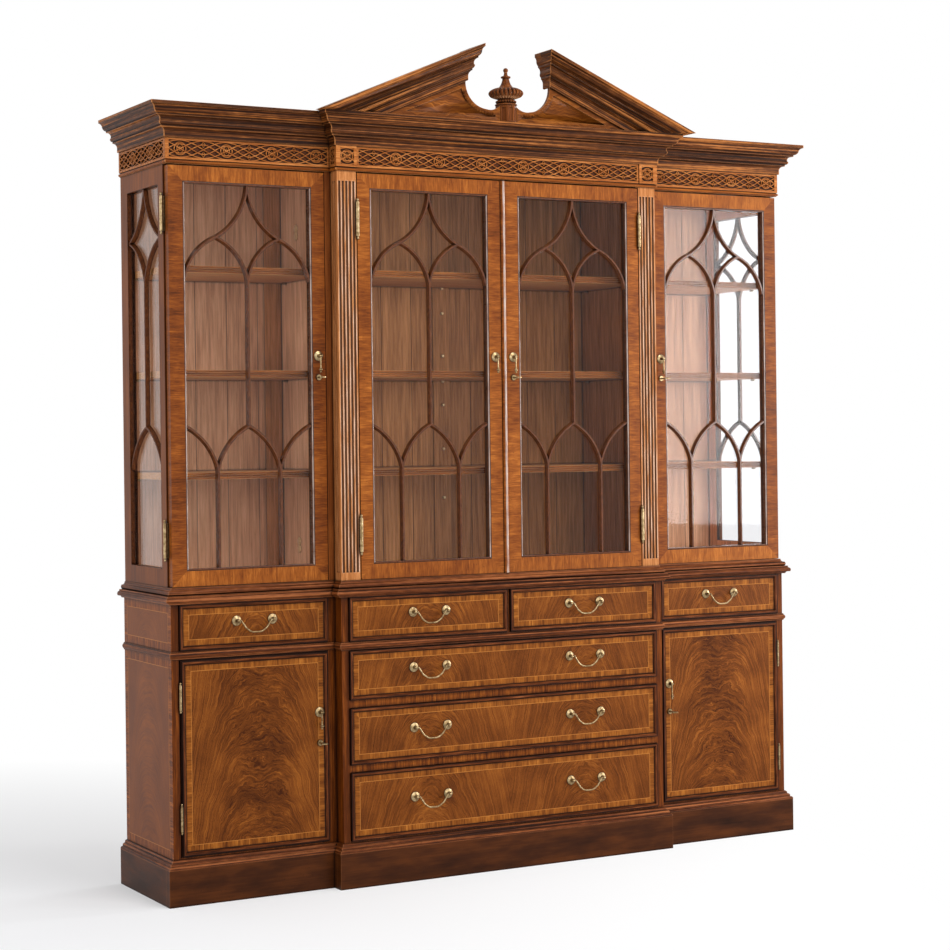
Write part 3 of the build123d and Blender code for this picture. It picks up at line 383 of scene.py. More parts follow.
def agedWithPaintedLight(bench, colour, x, depth, z, reach, hollow, edge=0.0, edgeHighlightTone=None):
    # specks all over; where asked for, a painted highlight on worn edges; painted shade in the
    # hollows
    colour = bench.mix(pinholes(bench, x, depth, z) * wearAndLightSettings["speckShare"], colour, speckAndShadeTone)
    if edge:
        colour = bench.mix(rubbedHighlight(bench, edge), colour, edgeHighlightTone)
    return bench.mix(shaded(bench, "hollow", reach, hollow), colour, speckAndShadeTone)


def polished(bench, colour, figure, dark, rough, spread=0.12, bump=0.25, relief=0.0004):
    # pale fibres are a little rougher, and the pores are sunk
    height = figure - dark * 0.5
    return bench.shader(colour, rough + figure * spread, height, bump, relief, **gloss)


plainSettings = {
    # tone, width and length of the fibres, their axis, roughness, seed, painted shade in the
    # hollows, painted highlight on worn edges
    "shelfEdgeTimber": ("veneer", 3.0, 110, "x", 0.30, 4.0, 0.95, 0.0),
    "shelfTimber": ("inside", 4.0, 110, "x", 0.34, 1.0, 0.0, 0.0),
    "turnedTimber": ("straight", 3.0, 60, "z", 0.28, 6.0, 1.0, 0.9),
    "stileTimber": ("inside", 5.0, 120, "z", 0.36, 8.0, 0.5, 0.0),
    "fretTimber": ("fret", 3.0, 60, "x", 0.30, 2.0, 0.85, 0.0)}
plainHollow = 6


def plainTimber(name):
    # one board or turning whose fibres follow one axis
    tone, width, run, grain, rough, seed, hollow, worn = plainSettings[name]
    bench, x, depth, z = laidOut(name)
    axes = {"x": (z, x, depth), "z": (x, z, depth)}
    figure, dark = fibres(bench, *axes[grain], width, run, seed)
    colour = bench.ramp(figure, timbers[tone])
    # painted highlight on the edges, where the finish is also worn
    if worn:
        colour = bench.mix(rubbedHighlight(bench, worn), colour, wearAndLightSettings["rubHighlightTone"])
    # painted shade in the hollows
    if hollow:
        colour = bench.mix(shaded(bench, "hollow", plainHollow, hollow), colour, speckAndShadeTone)
    return polished(bench, colour, figure, dark, rough)


frontSettings = {
    # inwards from the edge: a rim painted with shade, moulded border and its groove, also painted
    # with shade, crossband, string line
    "rimShade": 2.4, "border": 10.2, "groove": (9.2, 12.0), "line": 27.6, "lineWidth": 1.3,
    # thickness of the front's own board; the lining lies behind it
    "board": 26.5, "lining": (3.0, 70),
    # width and length of the fibres, their contrast, and that of the clouds
    "edge": (2.6, 60), "band": (3.4, 60), "bandFigure": 0.72, "bandCloud": 0.45,
    "flame": (4.2, 34), "doorFigure": 0.70, "drawerFigure": 0.48, "cloud": 0.42, "thin": 0.5,
    # arches of the flame, how far they stray, and the dark core of a door
    "doorArch": 0.000055, "doorDrift": 1.5, "drawerArch": 0.0080, "drawerRise": 0.8, "warp": 78.0,
    "coreWidth": 120, "coreStart": 1.15, "coreShade": 0.085, "coreLift": 0.01,
    "fleckStart": 0.56, "fleckGain": 7, "fleckShade": 0.12,
    # where the arches rise: beside a door's middle, at the bails of a wide drawer
    "doorHeart": (12, -10), "wideHearts": (-253.5, 253.5), "wide": 600,
    # from the piece's box to the veneered face: a door all round, a drawer's sides and foot
    "doorInset": 2.6, "drawerInset": 0.3, "drawerFoot": 1.1}


def frontTimber(name, box, hearts, tall):
    # a drawer or cupboard front: dark border, crossband, light string line and a flame field
    s = frontSettings
    bench, x, depth, z = laidOut(name)
    x0, x1, z0, z1, face = box
    sides, ends = bench.inward(x, x0, x1), bench.inward(z, z0, z1)
    _, inside, across, along = bench.framed(sides, ends, x, z)
    seed = (x0 * 0.013 + z0 * 0.029) % 9

    # crossband, its streaks square to the nearest edge
    band, bandDark = fibres(bench, across, along, seed, *s["band"], seed)
    bandCloud = bench.noise(across / 26 + seed, along / 60, 3.0, 2)
    band = 0.5 + (band - 0.5) * s["bandFigure"] + (bandCloud - 0.5) * s["bandCloud"]

    # flame field: streaks follow arches that rise over each heart
    drift = bench.noise(x / 120, z / 110, seed + 2.0, 4, 0.6) * s["warp"]
    heart = abs(x - hearts[0])
    if len(hearts) > 1:
        heart = bench.least(heart, abs(x - hearts[1]))
    if tall:
        arch = z + heart * heart * heart * s["doorArch"] + drift * s["doorDrift"]
    else:
        arch = z * s["drawerRise"] + heart * heart * s["drawerArch"] + drift
    flame, flameDark = fibres(bench, arch, heart, seed, *s["flame"], seed + 1)
    fleck = bench.noise(x / 1.3 + arch / 12, z / 7.5, seed, 2, 0.7)
    fleckDark = bench.clamp((fleck - s["fleckStart"]) * s["fleckGain"])
    cloud = bench.noise(x / 110 + seed, z / 120, 4.0, 3)
    thin = bench.noise(arch / 1.9, heart / 30, seed + 5, 2, 0.6)
    flame = 0.5 + (flame - 0.5) * s["doorFigure" if tall else "drawerFigure"] + \
        (cloud - 0.5) * s["cloud"] + (thin - 0.5) * s["thin"] - fleckDark * s["fleckShade"]
    if tall:
        core = bench.clamp(s["coreStart"] - heart / s["coreWidth"])
        flame = flame - core * s["coreShade"] + s["coreLift"]

    field = bench.step(inside, s["line"])
    line = bench.within(inside, s["line"] - s["lineWidth"], s["line"], 0.5)
    colour = bench.mix(field, bench.wood(band, "band"), bench.wood(flame, "flame"))
    colour = bench.mix(line * 0.85, colour, stringing)
    edge = fibres(bench, along, across, depth, *s["edge"], seed + 4)[0]
    border = 1 - bench.step(inside, s["border"])
    colour = bench.mix(border, colour, bench.wood(edge - 0.04, "moulding"))
    # painted shade: a dark line along the outer edge and in the border's groove
    rimShade = bench.most(1 - bench.step(inside, s["rimShade"]), bench.within(inside, *s["groove"], 0.6))
    colour = bench.mix(rimShade * 0.85, colour, speckAndShadeTone)
    colour = agedWithPaintedLight(bench, colour, x, depth, z, 9, 0.9)
    lining = fibres(bench, z, x + depth, depth * 0.3, *s["lining"], seed)[0]
    behind = bench.step(face - depth, s["board"])
    colour = bench.mix(behind, colour, bench.wood(lining, "lining"))
    relief = bench.choose(field, band - bandDark * 0.5, flame * 0.4 - flameDark)
    return bench.shader(colour, 0.30 + flame * 0.10 + behind * 0.25, relief, 0.22, 0.0003, **gloss)


glazedSettings = {
    # sides of each opening, depth of the door's face, lift of the tone on stiles and, as painted
    # sheen, on rails
    "doors": {"left_glazed_door": (-946.0, -584.0, 342.0, -0.05, 0.13),
              "right_glazed_door": (584.0, 946.0, 342.0, -0.05, 0.13),
              "centre_left_glazed_door": (-416.0, -54.0, 381.0, 0.03, 0.02),
              "centre_right_glazed_door": (54.0, 416.0, 381.0, 0.03, 0.02)},
    "levels": (878.5, 1893.0), "fibre": (2.6, 30), "figure": 0.62, "cloud": 0.34, "shade": 0.4,
    # reach of the bars' moulding, painted highlight on the arris round it and on the crest where
    # the doors meet
    "over": 5.4, "arrisHighlight": (-2.9, -0.4), "crest": 3.0, "crestDepth": 384.5,
    "crestTone": (0.55, 0.45, 0.39), "shoulder": (0.22, 0.85), "specular": 0.12}


def glazedTimber(name, door):
    # a glazed door: veneer laid across each board of the frame, dark bars in the opening
    s = glazedSettings
    bench, x, depth, z = laidOut(name)
    x0, x1, _, stileLift, railSheenLift = s["doors"][door]
    sides, ends = bench.inward(x, x0, x1), bench.inward(z, *s["levels"])
    stile, inside, across, along = bench.framed(sides, ends, x, z)
    seed = (x0 * 0.017) % 7
    figure, dark = fibres(bench, across, along, depth * 0.2, *s["fibre"], seed)
    cloud = bench.noise(across / 22 + seed, along / 60, 1.0, 3)
    shade = bench.noise(x / 160 + seed, z / 240, 2.0, 2)
    # the rails are painted lighter than the stiles: painted sheen
    figure = 0.5 + (figure - 0.5) * s["figure"] + (cloud - 0.5) * s["cloud"] + \
        (shade - 0.5) * s["shade"] + stileLift + (1 - stile) * railSheenLift
    colour = bench.wood(figure, "veneer")
    bars = fibres(bench, x + depth, z, x - z, *barFibre, seed + 3)[0]
    opened = bench.step(inside, -s["over"])
    colour = bench.mix(opened, colour, bench.wood(bars, "bars"))
    colour = agedWithPaintedLight(bench, colour, x, depth, z, 7, 0.85)

    # painted highlights on the arrises, the meeting crest and one shoulder of the bars, broken up
    # in patches
    sideways, outwards = bench.outward()[:2]
    arrisHighlight = bench.within(inside, *s["arrisHighlight"], 1.0) * stile
    crest = bench.within(abs(x), 0, s["crest"], 1.4) * bench.step(depth, s["crestDepth"])
    shoulder = opened * bench.within(sideways, *s["shoulder"], 0.1) * \
        bench.step(0 - outwards, 0.4, 0.2)
    worn = bench.noise(x / 9, z / 60, depth / 9, 3)
    paintedHighlight = bench.most(bench.most(arrisHighlight * 0.7, crest * 0.85), shoulder * 0.45) * \
        bench.clamp(worn * 2.4 - 0.5)
    colour = bench.mix(paintedHighlight, colour, s["crestTone"])
    rough = 0.32 + figure * 0.12 - opened * 0.10
    coat = bench.most(opened * 0.5, paintedHighlight)
    return bench.shader(colour, rough, figure - dark * 0.5, 0.22, 0.0003, Coat_Weight=coat,
                        Specular_IOR_Level=s["specular"])


caseSettings = {
    # pilasters: sides, least depth, sides and ends of the fluted part, its face, levels below it
    "pilaster": (461.5, 520.6), "pilasterDepth": 337.5, "flutes": (463.5, 518.0),
    "fluteEnds": (853.0, 1915.0), "face": 381.0, "fluteDepth": (4.0, 1.3, 0.3),
    # painted highlight on the crests between the flutes, painted shade in the flutes
    "crestTone": (0.72, 0.48, 0.34), "fluteShadeTone": (0.050, 0.020, 0.010),
    # inside: width of the planks, deepest inside face, half width of the case, back's outer skin
    "planks": 96.0, "inside": 316, "side": 975.0, "skin": 1.5, "wings": 507.5,
    # side windows: depths and levels
    "windowDepth": (49.0, 280.5), "windowLevels": (877.5, 1894.0)}


def upperTimber():
    # upper case: veneered fronts and sides, lighter pilasters, planked back, dark window bars
    s = caseSettings
    bench, x, depth, z = laidOut("upperCaseTimber")
    width = abs(x)
    figure, dark = fibres(bench, x + depth, z, depth - x, 3.6, 90, 2.0)
    cloud = bench.noise(x / 140, z / 260, depth / 140, 2)
    colour = bench.wood(0.50 + (figure - 0.5) * 0.5 + (cloud - 0.5) * 0.35, "straight")

    # pilasters in the lighter veneer, with painted shade in their flutes and a painted highlight,
    # in patches, on the crests between them
    post = bench.step(depth, s["pilasterDepth"]) * bench.within(width, *s["pilaster"])
    across = fibres(bench, x + depth, z, depth - x, 3.0, 60, 5.0)[0]
    colour = bench.mix(post, colour, bench.wood(across + 0.01, "pilaster"))
    deep, low, high = s["fluteDepth"]
    ribbed = bench.within(width, *s["flutes"]) * bench.step(depth, s["face"] - deep)
    sunk = ribbed * (1 - bench.step(depth, s["face"] - low, 1.0))
    crest = ribbed * bench.step(depth, s["face"] - high, 0.2) * bench.within(z, *s["fluteEnds"], 6)
    worn = bench.noise(x / 5, z / 130, 7.0, 3, 0.6)
    colour = bench.mix(crest * bench.clamp((worn - 0.42) * 5) * 0.85, colour, s["crestTone"])
    colour = bench.mix(sunk * 0.85, colour, s["fluteShadeTone"])

    # inside faces, painted lighter in the wings for the light that floods them, and the planked
    # back with its darker outer skin
    plank = bench.node("Math", {"operation": "FLOOR"}, {0: x / s["planks"]})
    inside = fibres(bench, x + plank * 37, z, depth, 6.0, 130, 3.0)[0]
    inside = inside + (bench.noise(plank * 3.7, 1.0, 2.0, 0) - 0.5) * 0.35
    within = bench.within(depth, -1, s["inside"]) * (1 - bench.step(width, s["side"] + 1.0))
    inner = bench.mix(bench.step(width, s["wings"]), bench.wood(inside, "inside"),
                      bench.wood(inside, "wingLit"))
    inner = bench.mix(bench.step(depth, s["skin"]), bench.wood(inside - 0.06, "veneer"), inner)
    colour = bench.mix(within, colour, inner)

    # bars of the side windows
    opened = bench.within(depth, *s["windowDepth"]) * bench.within(z, *s["windowLevels"]) * \
        bench.step(width, s["side"])
    bars = fibres(bench, x + depth, z, depth - z, *barFibre, 3.0)[0]
    colour = bench.mix(opened, colour, bench.wood(bars, "bars"))
    colour = agedWithPaintedLight(bench, colour, x, depth, z, 7, 0.92)
    return polished(bench, colour, figure, dark, 0.30, 0.14, 0.22, 0.0003)


baseSettings = {
    # side panels: levels of the two, their depth, crossband, string line, arch of the flame
    "lower": (120.0, 643.5), "upper": (663.5, 787.0), "depth": 346.0, "band": 22.0, "line": 1.4,
    "arch": 0.00011, "warp": 50, "outer": 999.2,
    # front: its least depth, the posts beside the drawers and at the corners
    "front": 318, "posts": (500.0, 550.0), "corner": 976.0}


def baseTimber():
    # lower case: panelled sides with a crossband and string line, cross-grained rails, dark posts
    s = baseSettings
    bench, x, depth, z = laidOut("lowerCaseTimber")
    width = abs(x)
    heart = abs(depth - s["depth"] / 2)
    drift = bench.noise(depth / 120, z / 120, 2.0, 3) * s["warp"]
    arch = z + heart * heart * heart * s["arch"] + drift
    figure, dark = fibres(bench, arch, heart, x / 9, 4.2, 46, 2.0)
    cloud = bench.noise(x / 140, z / 150, depth / 110, 3)
    sides = bench.wood(0.52 + (figure - 0.5) * 0.4 + (cloud - 0.5) * 0.25, "straight")
    rails = fibres(bench, x, z, depth, 3.2, 60, 6.0)[0]
    patches = bench.noise(x / 40, z / 90, depth / 40, 3)
    fronts = bench.wood(rails - 0.04 + (patches - 0.5) * 0.4, "veneer")
    posts = bench.most(bench.step(width, s["corner"]), bench.within(width, *s["posts"]))
    stiles = fibres(bench, x, z, depth, 3.0, 90, 9.0)[0]
    fronts = bench.mix(posts, fronts, bench.wood(stiles - 0.18, "veneer"))
    colour = bench.mix(bench.step(depth, s["front"]), sides, fronts)

    # crossband and string line of the side panels
    low, high = s["lower"], s["upper"]
    upper = bench.step(z, (low[1] + high[0]) / 2)
    ends = bench.choose(upper, bench.inward(z, *low), bench.inward(z, *high))
    sides = bench.inward(depth, 0, s["depth"])
    _, inside, across, along = bench.framed(sides, ends, depth, z)
    outer = bench.step(width, s["outer"])
    band = fibres(bench, across, along, 1.0, 3.2, 60, 4.0)[0]
    colour = bench.mix((1 - bench.step(inside, s["band"])) * outer, colour,
                       bench.wood(band - 0.06, "veneer"))
    line = bench.within(inside, s["band"], s["band"] + s["line"], 0.5) * outer
    colour = bench.mix(line * 0.7, colour, stringing)
    colour = agedWithPaintedLight(bench, colour, x, depth, z, 12, 0.85)
    return polished(bench, colour, figure, dark, 0.30, 0.14, 0.22, 0.0003)


runSettings = {"edge": 96.0, "rough": 0.34, "rubHighlightTone": (0.30, 0.115, 0.045),
               "slant": (0.35, 0.5, 0.2)}


def runFibres(bench, x, depth, z, width, seed):
    # fibres along a moulding, whichever way it runs
    lean, side, turn = runSettings["slant"]
    return fibres(bench, z + depth * lean, x * side + depth * turn, depth, width, 90, seed)


def runTimber(name, seed, lower=None):
    # mouldings: fibres run with the length; lower names the tone of the boards under an edge
    s = runSettings
    bench, x, depth, z = laidOut(name)
    figure, dark = runFibres(bench, x, depth, z, 3.4, seed)
    cloud = bench.noise(x / 90, depth / 90, z / 30 + seed, 3)
    figure = figure + (cloud - 0.5) * 0.5
    drawn = drawnLines(bench, z, x + depth, seed)
    colour = bench.wood(drawn + (figure - 0.5) * 0.22 + 0.01, "moulding")
    if lower:
        board = figure * 0.22 + bench.noise(x / 160, z / 40, depth / 160, 3) * 0.85
        colour = bench.mix(bench.step(z, s["edge"]), bench.wood(board, lower), colour)
    colour = agedWithPaintedLight(bench, colour, x, depth, z, 7, 1.0, 0.55, s["rubHighlightTone"])
    return polished(bench, colour, figure, dark, s["rough"])


corniceSettings = {"rubHighlightTone": (0.50, 0.20, 0.060), "friezeTop": 2010.0, "ground": (1957.5, 2005.5),
                   "front": 341.5, "sideShadow": (0.012, 0.004, 0.002),
                   "frontShadow": (0.080, 0.020, 0.005)}


def corniceTimber():
    # cornice over the frieze: dark mouldings, golden frieze, painted shadow on the ground behind
    # the fret
    s = corniceSettings
    bench, x, depth, z = laidOut("corniceTimber")
    figure, dark = runFibres(bench, x, depth, z, 2.4, 4.0)
    cloud = bench.noise(x / 90, depth / 90, z / 16, 3)
    figure = figure + (cloud - 0.5) * 0.35
    above = bench.step(z, s["friezeTop"])
    drawn = drawnLines(bench, z, x + depth, 4.0) + (figure - 0.5) * 0.2 - 0.03
    colour = bench.mix(above, bench.wood(figure, "veneer"), bench.wood(drawn, "cornice"))

    # the flat top is a plain board
    level = bench.step(bench.outward()[2], 0.9)
    board = fibres(bench, depth, x, z, 6.0, 160, 8.0)[0]
    colour = bench.mix(level * above, colour, bench.wood(board - 0.06, "veneer"))

    # painted shadow on the ground behind the fret, darker on the sides than on the front
    shadow = bench.mix(bench.step(depth, s["front"]), s["sideShadow"], s["frontShadow"])
    sunk = bench.mix(figure * 0.5, shadow, bench.wood(figure, "straight"))
    colour = bench.mix(bench.within(z, *s["ground"]), colour, sunk)
    colour = agedWithPaintedLight(bench, colour, x, depth, z, 6, 1.0, 0.9, s["rubHighlightTone"])
    return polished(bench, colour, figure, dark, 0.34)


pedimentSettings = {"slope": 22.8, "face": rakeFace - 62.0, "turned": 0.62}


def pedimentTimber():
    # raking mouldings with the grain up the slope, figured veneer in the sunk fields
    s = pedimentSettings
    bench, x, depth, z = laidOut("pedimentTimber")
    cosine, sine = cos(radians(s["slope"])), sin(radians(s["slope"]))
    turned = bench.step(abs(bench.outward()[0]), s["turned"], 0.05)
    across = bench.choose(turned, z * cosine + abs(x) * sine, z * 1.4)
    along = bench.choose(turned, abs(x) * cosine - z * sine, depth)
    figure, dark = fibres(bench, across, along, depth * 0.1, 3.0, 90, 3.0)
    cloud = bench.noise(across / 16, along / 90, depth / 60, 3)
    drawn = drawnLines(bench, across, along, 2.0) + (figure - 0.5) * 0.25 + (cloud - 0.5) * 0.3
    swirl = bench.noise(x / 60, z / 60, 3.0, 2) * 40
    field = fibres(bench, z + swirl, x, depth * 0.1, 4.0, 60, 6.0)[0]
    panel = bench.wood(0.51 + (field - 0.5) * 0.8, "flame")
    flat = 1 - bench.step(depth, s["face"] + 0.6)
    colour = bench.mix(flat, bench.wood(drawn, "cornice"), panel)
    colour = agedWithPaintedLight(bench, colour, x, depth, z, 7, 1.0, 0.9, corniceSettings["rubHighlightTone"])
    return polished(bench, colour, figure, dark, 0.32, 0.14)


# tones of the brass, from its dark patina to its rubbed crests
brassTones = {"agedWithPaintedLight": [(0.28, 0.075, 0.043, 0.017), (0.46, 0.235, 0.155, 0.073),
                       (0.62, 0.42, 0.31, 0.165), (0.85, 0.66, 0.53, 0.33)],
              "bright": [(0.3, 0.42, 0.27, 0.1), (0.6, 0.86, 0.66, 0.36)],
              "hollow": (0.016, 0.008, 0.003)}
glassSettings = {"clear": (0.972, 0.974, 0.98, 1), "rough": 0.03, "power": 5, "gain": 0.9,
                 "least": 0.012}


def agedBrass():
    # cloudy and specked, dark in the hollows
    bench, x, depth, z = laidOut("agedBrass")
    cloud = bench.noise(x / 9, z / 9, depth / 9, 4, 0.6)
    speck = bench.noise(x / 1.6, z / 1.6, depth / 1.6, 3, 0.6)
    value = bench.clamp(cloud * 0.75 + speck * 0.3)
    colour = bench.ramp(value, brassTones["agedWithPaintedLight"])
    colour = bench.mix(shaded(bench, "hollow", 4, 0.95), colour, brassTones["hollow"])
    return bench.shader(colour, 0.40 - value * 0.16, speck, 0.12, 0.0002, Metallic=1.0)


def brightBrass():
    # small fittings inside the case
    bench, x, depth, z = laidOut("brightBrass")
    speck = bench.noise(x / 2.4, z / 2.4, depth / 2.4, 3, 0.6)
    colour = bench.ramp(speck, brassTones["bright"])
    return bench.shader(colour, 0.34, speck, 0.10, 0.0002, Metallic=0.45)


def clearGlass():
    # thin pane: light goes straight on, and the sheen grows towards a grazing angle
    s = glassSettings
    bench = Bench("clearGlass")
    through = bench.node("BsdfTransparent", None, {"Color": s["clear"]})
    sheen = bench.node("BsdfGlossy", None, {"Color": white, "Roughness": s["rough"]})
    facing = bench.node("LayerWeight", None, {"Blend": 0.5}, "Facing")
    angle = facing ** s["power"] * s["gain"] + s["least"]
    bench.lay(bench.node("MixShader", None, {0: angle, 1: through, 2: sheen}))
    return bench.material


def pick(*pieces):
    bpy.ops.object.select_all(action="DESELECT")
    for piece in pieces:
        piece.select_set(True)
    bpy.context.view_layer.objects.active = pieces[0]


def copied(piece, name, matrix=Matrix.Identity(4)):
    twin = piece.copy()
    twin.data = piece.data.copy()
    twin.name = name
    twin.data.name = name
    bpy.context.collection.objects.link(twin)
    twin.data.transform(matrix)
    return twin


def joined(pieces, name):
    pick(*pieces)
    bpy.ops.object.join()
    whole = bpy.context.object
    whole.name = name
    return whole


def settled(piece):
    # place, turn and size go into the mesh
    pick(piece)
    bpy.ops.object.transform_apply(location=True, rotation=True, scale=True)
    return piece


def startEditing(choose="SELECT", kind="VERT"):
    # into edit mode, with all or none of the mesh chosen
    bpy.ops.object.mode_set(mode="EDIT")
    bpy.ops.mesh.select_mode(type=kind)
    bpy.ops.mesh.select_all(action=choose)


def endEditing():
    bpy.ops.object.mode_set(mode="OBJECT")


def softened(piece, radius, segments):
    # every sharp edge gets a small round
    bevel = piece.modifiers.new("round", "BEVEL")
    bevel.width = radius * mm
    bevel.segments = segments
    bevel.limit_method = "ANGLE"
    bpy.ops.object.modifier_apply(modifier=bevel.name)
    return piece


def smoothed(angle):
    bpy.ops.object.shade_smooth_by_angle(angle=radians(angle))


def flatBoard(name, x0, x1, z0, z1, back, rise):
    # flat board whose back is at a depth and whose face stands proud of it
    bpy.ops.mesh.primitive_cube_add(size=1)
    piece = bpy.context.object
    piece.name = name
    piece.scale = ((x1 - x0) * mm, rise * mm, (z1 - z0) * mm)
    piece.location = back + Vector(((x0 + x1) / 2 * mm, -rise / 2 * mm, (z0 + z1) / 2 * mm))
    return settled(piece)


def rod(sides, radius, length, turn, spot=(0, 0, 0)):
    bpy.ops.mesh.primitive_cylinder_add(vertices=sides, radius=radius * mm, depth=length * mm,
                                        location=spot, rotation=[radians(a) for a in turn])
    return settled(bpy.context.object)


def repeated(source, moves, name):
    # the same small piece at every place, as one; the first one goes
    whole = joined([copied(source, "repeat", move) for move in moves], name)
    bpy.data.objects.remove(source)
    return whole


def paint(piece, material):
    piece.data.materials.clear()
    piece.data.materials.append(material)


def dress(piece, body, slot, material, *nodes):
    paint(piece, material)
    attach(piece, body)
    if nodes:
        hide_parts(*nodes)


def swept(points, handle, shares=(), cyclic=False, **shape):
    # mesh of a rounded strand along the points; shares thin it here and there
    bpy.ops.curve.primitive_bezier_curve_add()
    curve = bpy.context.object
    spline = curve.data.splines[0]
    spline.use_cyclic_u = cyclic
    spline.bezier_points.add(len(points) - len(spline.bezier_points))
    for knot, point in zip(spline.bezier_points, points):
        knot.co = point
        knot.handle_left_type = knot.handle_right_type = handle
    for knot, share in zip(spline.bezier_points, shares):
        knot.radius = share
    curve.data.dimensions = "3D"
    for key, value in shape.items():
        setattr(curve.data, key, value)
    pick(curve)
    bpy.ops.object.convert(target="MESH")
    return bpy.context.object


ribSettings = {"straight": 0.65, "least": 0.05, "sunk": 0.35, "soft": 3}


def ribbed(points, thick, rise, closed=False, soft=True):
    # a raised rib along a flat line in the XZ plane; its crest stands at the rise
    s = ribSettings
    made = swept([(u * mm, v * mm, 0) for u, v in points], "AUTO" if soft else "VECTOR", (),
                 closed, twist_mode="Z_UP", resolution_u=s["soft"] if soft else 1,
                 extrude=max(rise * s["straight"] - thick / 2, s["least"]) * mm,
                 bevel_depth=thick / 2 * mm, bevel_resolution=1)
    lift = Matrix.Translation((0, -rise * s["sunk"] * mm, 0))
    made.data.transform(lift @ Matrix.Rotation(radians(90), 4, "X"))
    return made


fretSettings = {
    # strands: thickness and rise, half height of the waves, level of their axis, points per knot
    "thick": 3.1, "rise": 4.6, "half": 22.5, "level": 1981.5, "step": 6, "lace": 0.55,
    # knots: ring, lozenge in it, brackets beside it, pair of lozenges between two rings
    "ring": 16.5, "eye": (4.0, 6.5), "arc": (9.0, 12.5, 5.5), "spark": (5.0, 7.5, 13.0),
    "ringRise": 0.95, "fineThick": 0.85, "fineRise": 0.9,
    # margins: foot and head of the panel, how they overlap the work, their round
    "foot": 1953.2, "head": 2009.8, "gap": 1.0, "lap": 1.4, "round": 0.6}
# the fret's layouts: length, half pitch, first knot and its kind
fretWing = (460.0, 65.7, 32.8, "ring")
fretSide = (326.0, 65.2, 32.6, "cross")
fretCap = (42.0, 60.0, 21.0, "ring")
fretReturn = (26.0, 40.0, 13.0, "cross")
fretCentre = (912.0, 68.0, 48.0, "cross")
fretOut = fretSettings["rise"]
fretPanels = [
    # name, layout, margins at both ends, place and turn
    ("fretFrontLeft", fretWing, 5.5 + fretOut, 10.5, at(-990.5, 342, 0), 0),
    ("fretFrontRight", fretWing, 10.5, 5.5 + fretOut, at(530.5, 342, 0), 0),
    ("fretFrontCentre", fretCentre, 6, 6, at(-456, 381, 0), 0),
    ("fretCapLeft", fretCap, 8 + fretOut, 8, at(-512, 384, 0), 0),
    ("fretCapRight", fretCap, 8, 8 + fretOut, at(470, 384, 0), 0),
    ("fretSideLeft", fretSide, 8, 8, at(-996, 8, 0), -90),
    ("fretSideRight", fretSide, 8, 8, at(996, 334, 0), 90),
    ("fretReturnLeft", fretReturn, 6.3, 6.3, at(-520, 351.7, 0), -90),
    ("fretReturnRight", fretReturn, 6.3, 6.3, at(520, 377.7, 0), 90)]


def lozenge(u, v, w, h):
    s = fretSettings
    return ribbed([(u - w, v), (u, v + h), (u + w, v), (u, v - h)], s["thick"] * s["fineThick"],
                  s["rise"] * s["fineRise"], True, False)


def fretStrip(name, length, halfPitch, first, kind):
    # interlaced waves, rings and lozenges along a strip that starts at u = 0
    s = fretSettings
    pieces = []
    count = max(4, int(length / halfPitch * s["step"]))
    offset = first if kind == "ring" else first + halfPitch
    waves = ((cos, 1.0, 2), (sin, 1.0, 2), (cos, s["lace"], 1))
    for sign in (1, -1):
        for wave, reach, pitch in waves:
            points = []
            for i in range(count + 1):
                u = length * i / count
                swing = wave(pi * (u - offset) / (pitch * halfPitch))
                points.append((u, sign * reach * s["half"] * swing))
            pieces.append(ribbed(points, s["thick"], s["rise"]))
    u = first
    ring = kind == "ring"
    while u < length:
        if ring:
            turn = [(u + s["ring"] * cos(a), s["ring"] * sin(a))
                    for a in [radians(45 * i) for i in range(8)]]
            pieces.append(ribbed(turn, s["thick"], s["rise"] * s["ringRise"], True))
            pieces.append(lozenge(u, 0, *s["eye"]))
            reach, half, bow = s["arc"]
            for sign in (1, -1):
                near, far = u + sign * (reach - bow), u + sign * reach
                pieces.append(ribbed([(near, -half), (far, 0), (near, half)],
                                     s["thick"] * s["fineThick"], s["rise"] * s["fineRise"]))
        else:
            w, h, v = s["spark"]
            pieces += [lozenge(u, sign * v, w, h) for sign in (1, -1)]
        ring = not ring
        u += halfPitch
    return joined(pieces, name)


def makeFret(material):
    # one strip for each face of the frieze, framed by flat margins
    s = fretSettings
    low, high = s["level"] - s["half"] - s["gap"], s["level"] + s["half"] + s["gap"]
    for name, layout, before, after, spot, turn in fretPanels:
        length = layout[0]
        strip = fretStrip(name + "Work", *layout)
        strip.data.transform(Matrix.Translation((0, 0, s["level"] * mm)))
        frames = [("Foot", -before, length + after, s["foot"], low + s["lap"]),
                  ("Head", -before, length + after, high - s["lap"], s["head"]),
                  ("Start", -before, s["gap"], low, high),
                  ("End", length - s["gap"], length + after, low, high)]
        margins = [softened(flatBoard(name + part, *sides, Vector(), s["rise"]), s["round"], 2)
                   for part, *sides in frames]
        piece = joined([strip] + margins, name)
        turned = Matrix.Rotation(radians(turn), 4, "Z")
        piece.data.transform(Matrix.Translation(spot) @ turned)
        dress(piece, "cabinet", "cross_veneer", material)
    print("fret laid on the frieze")


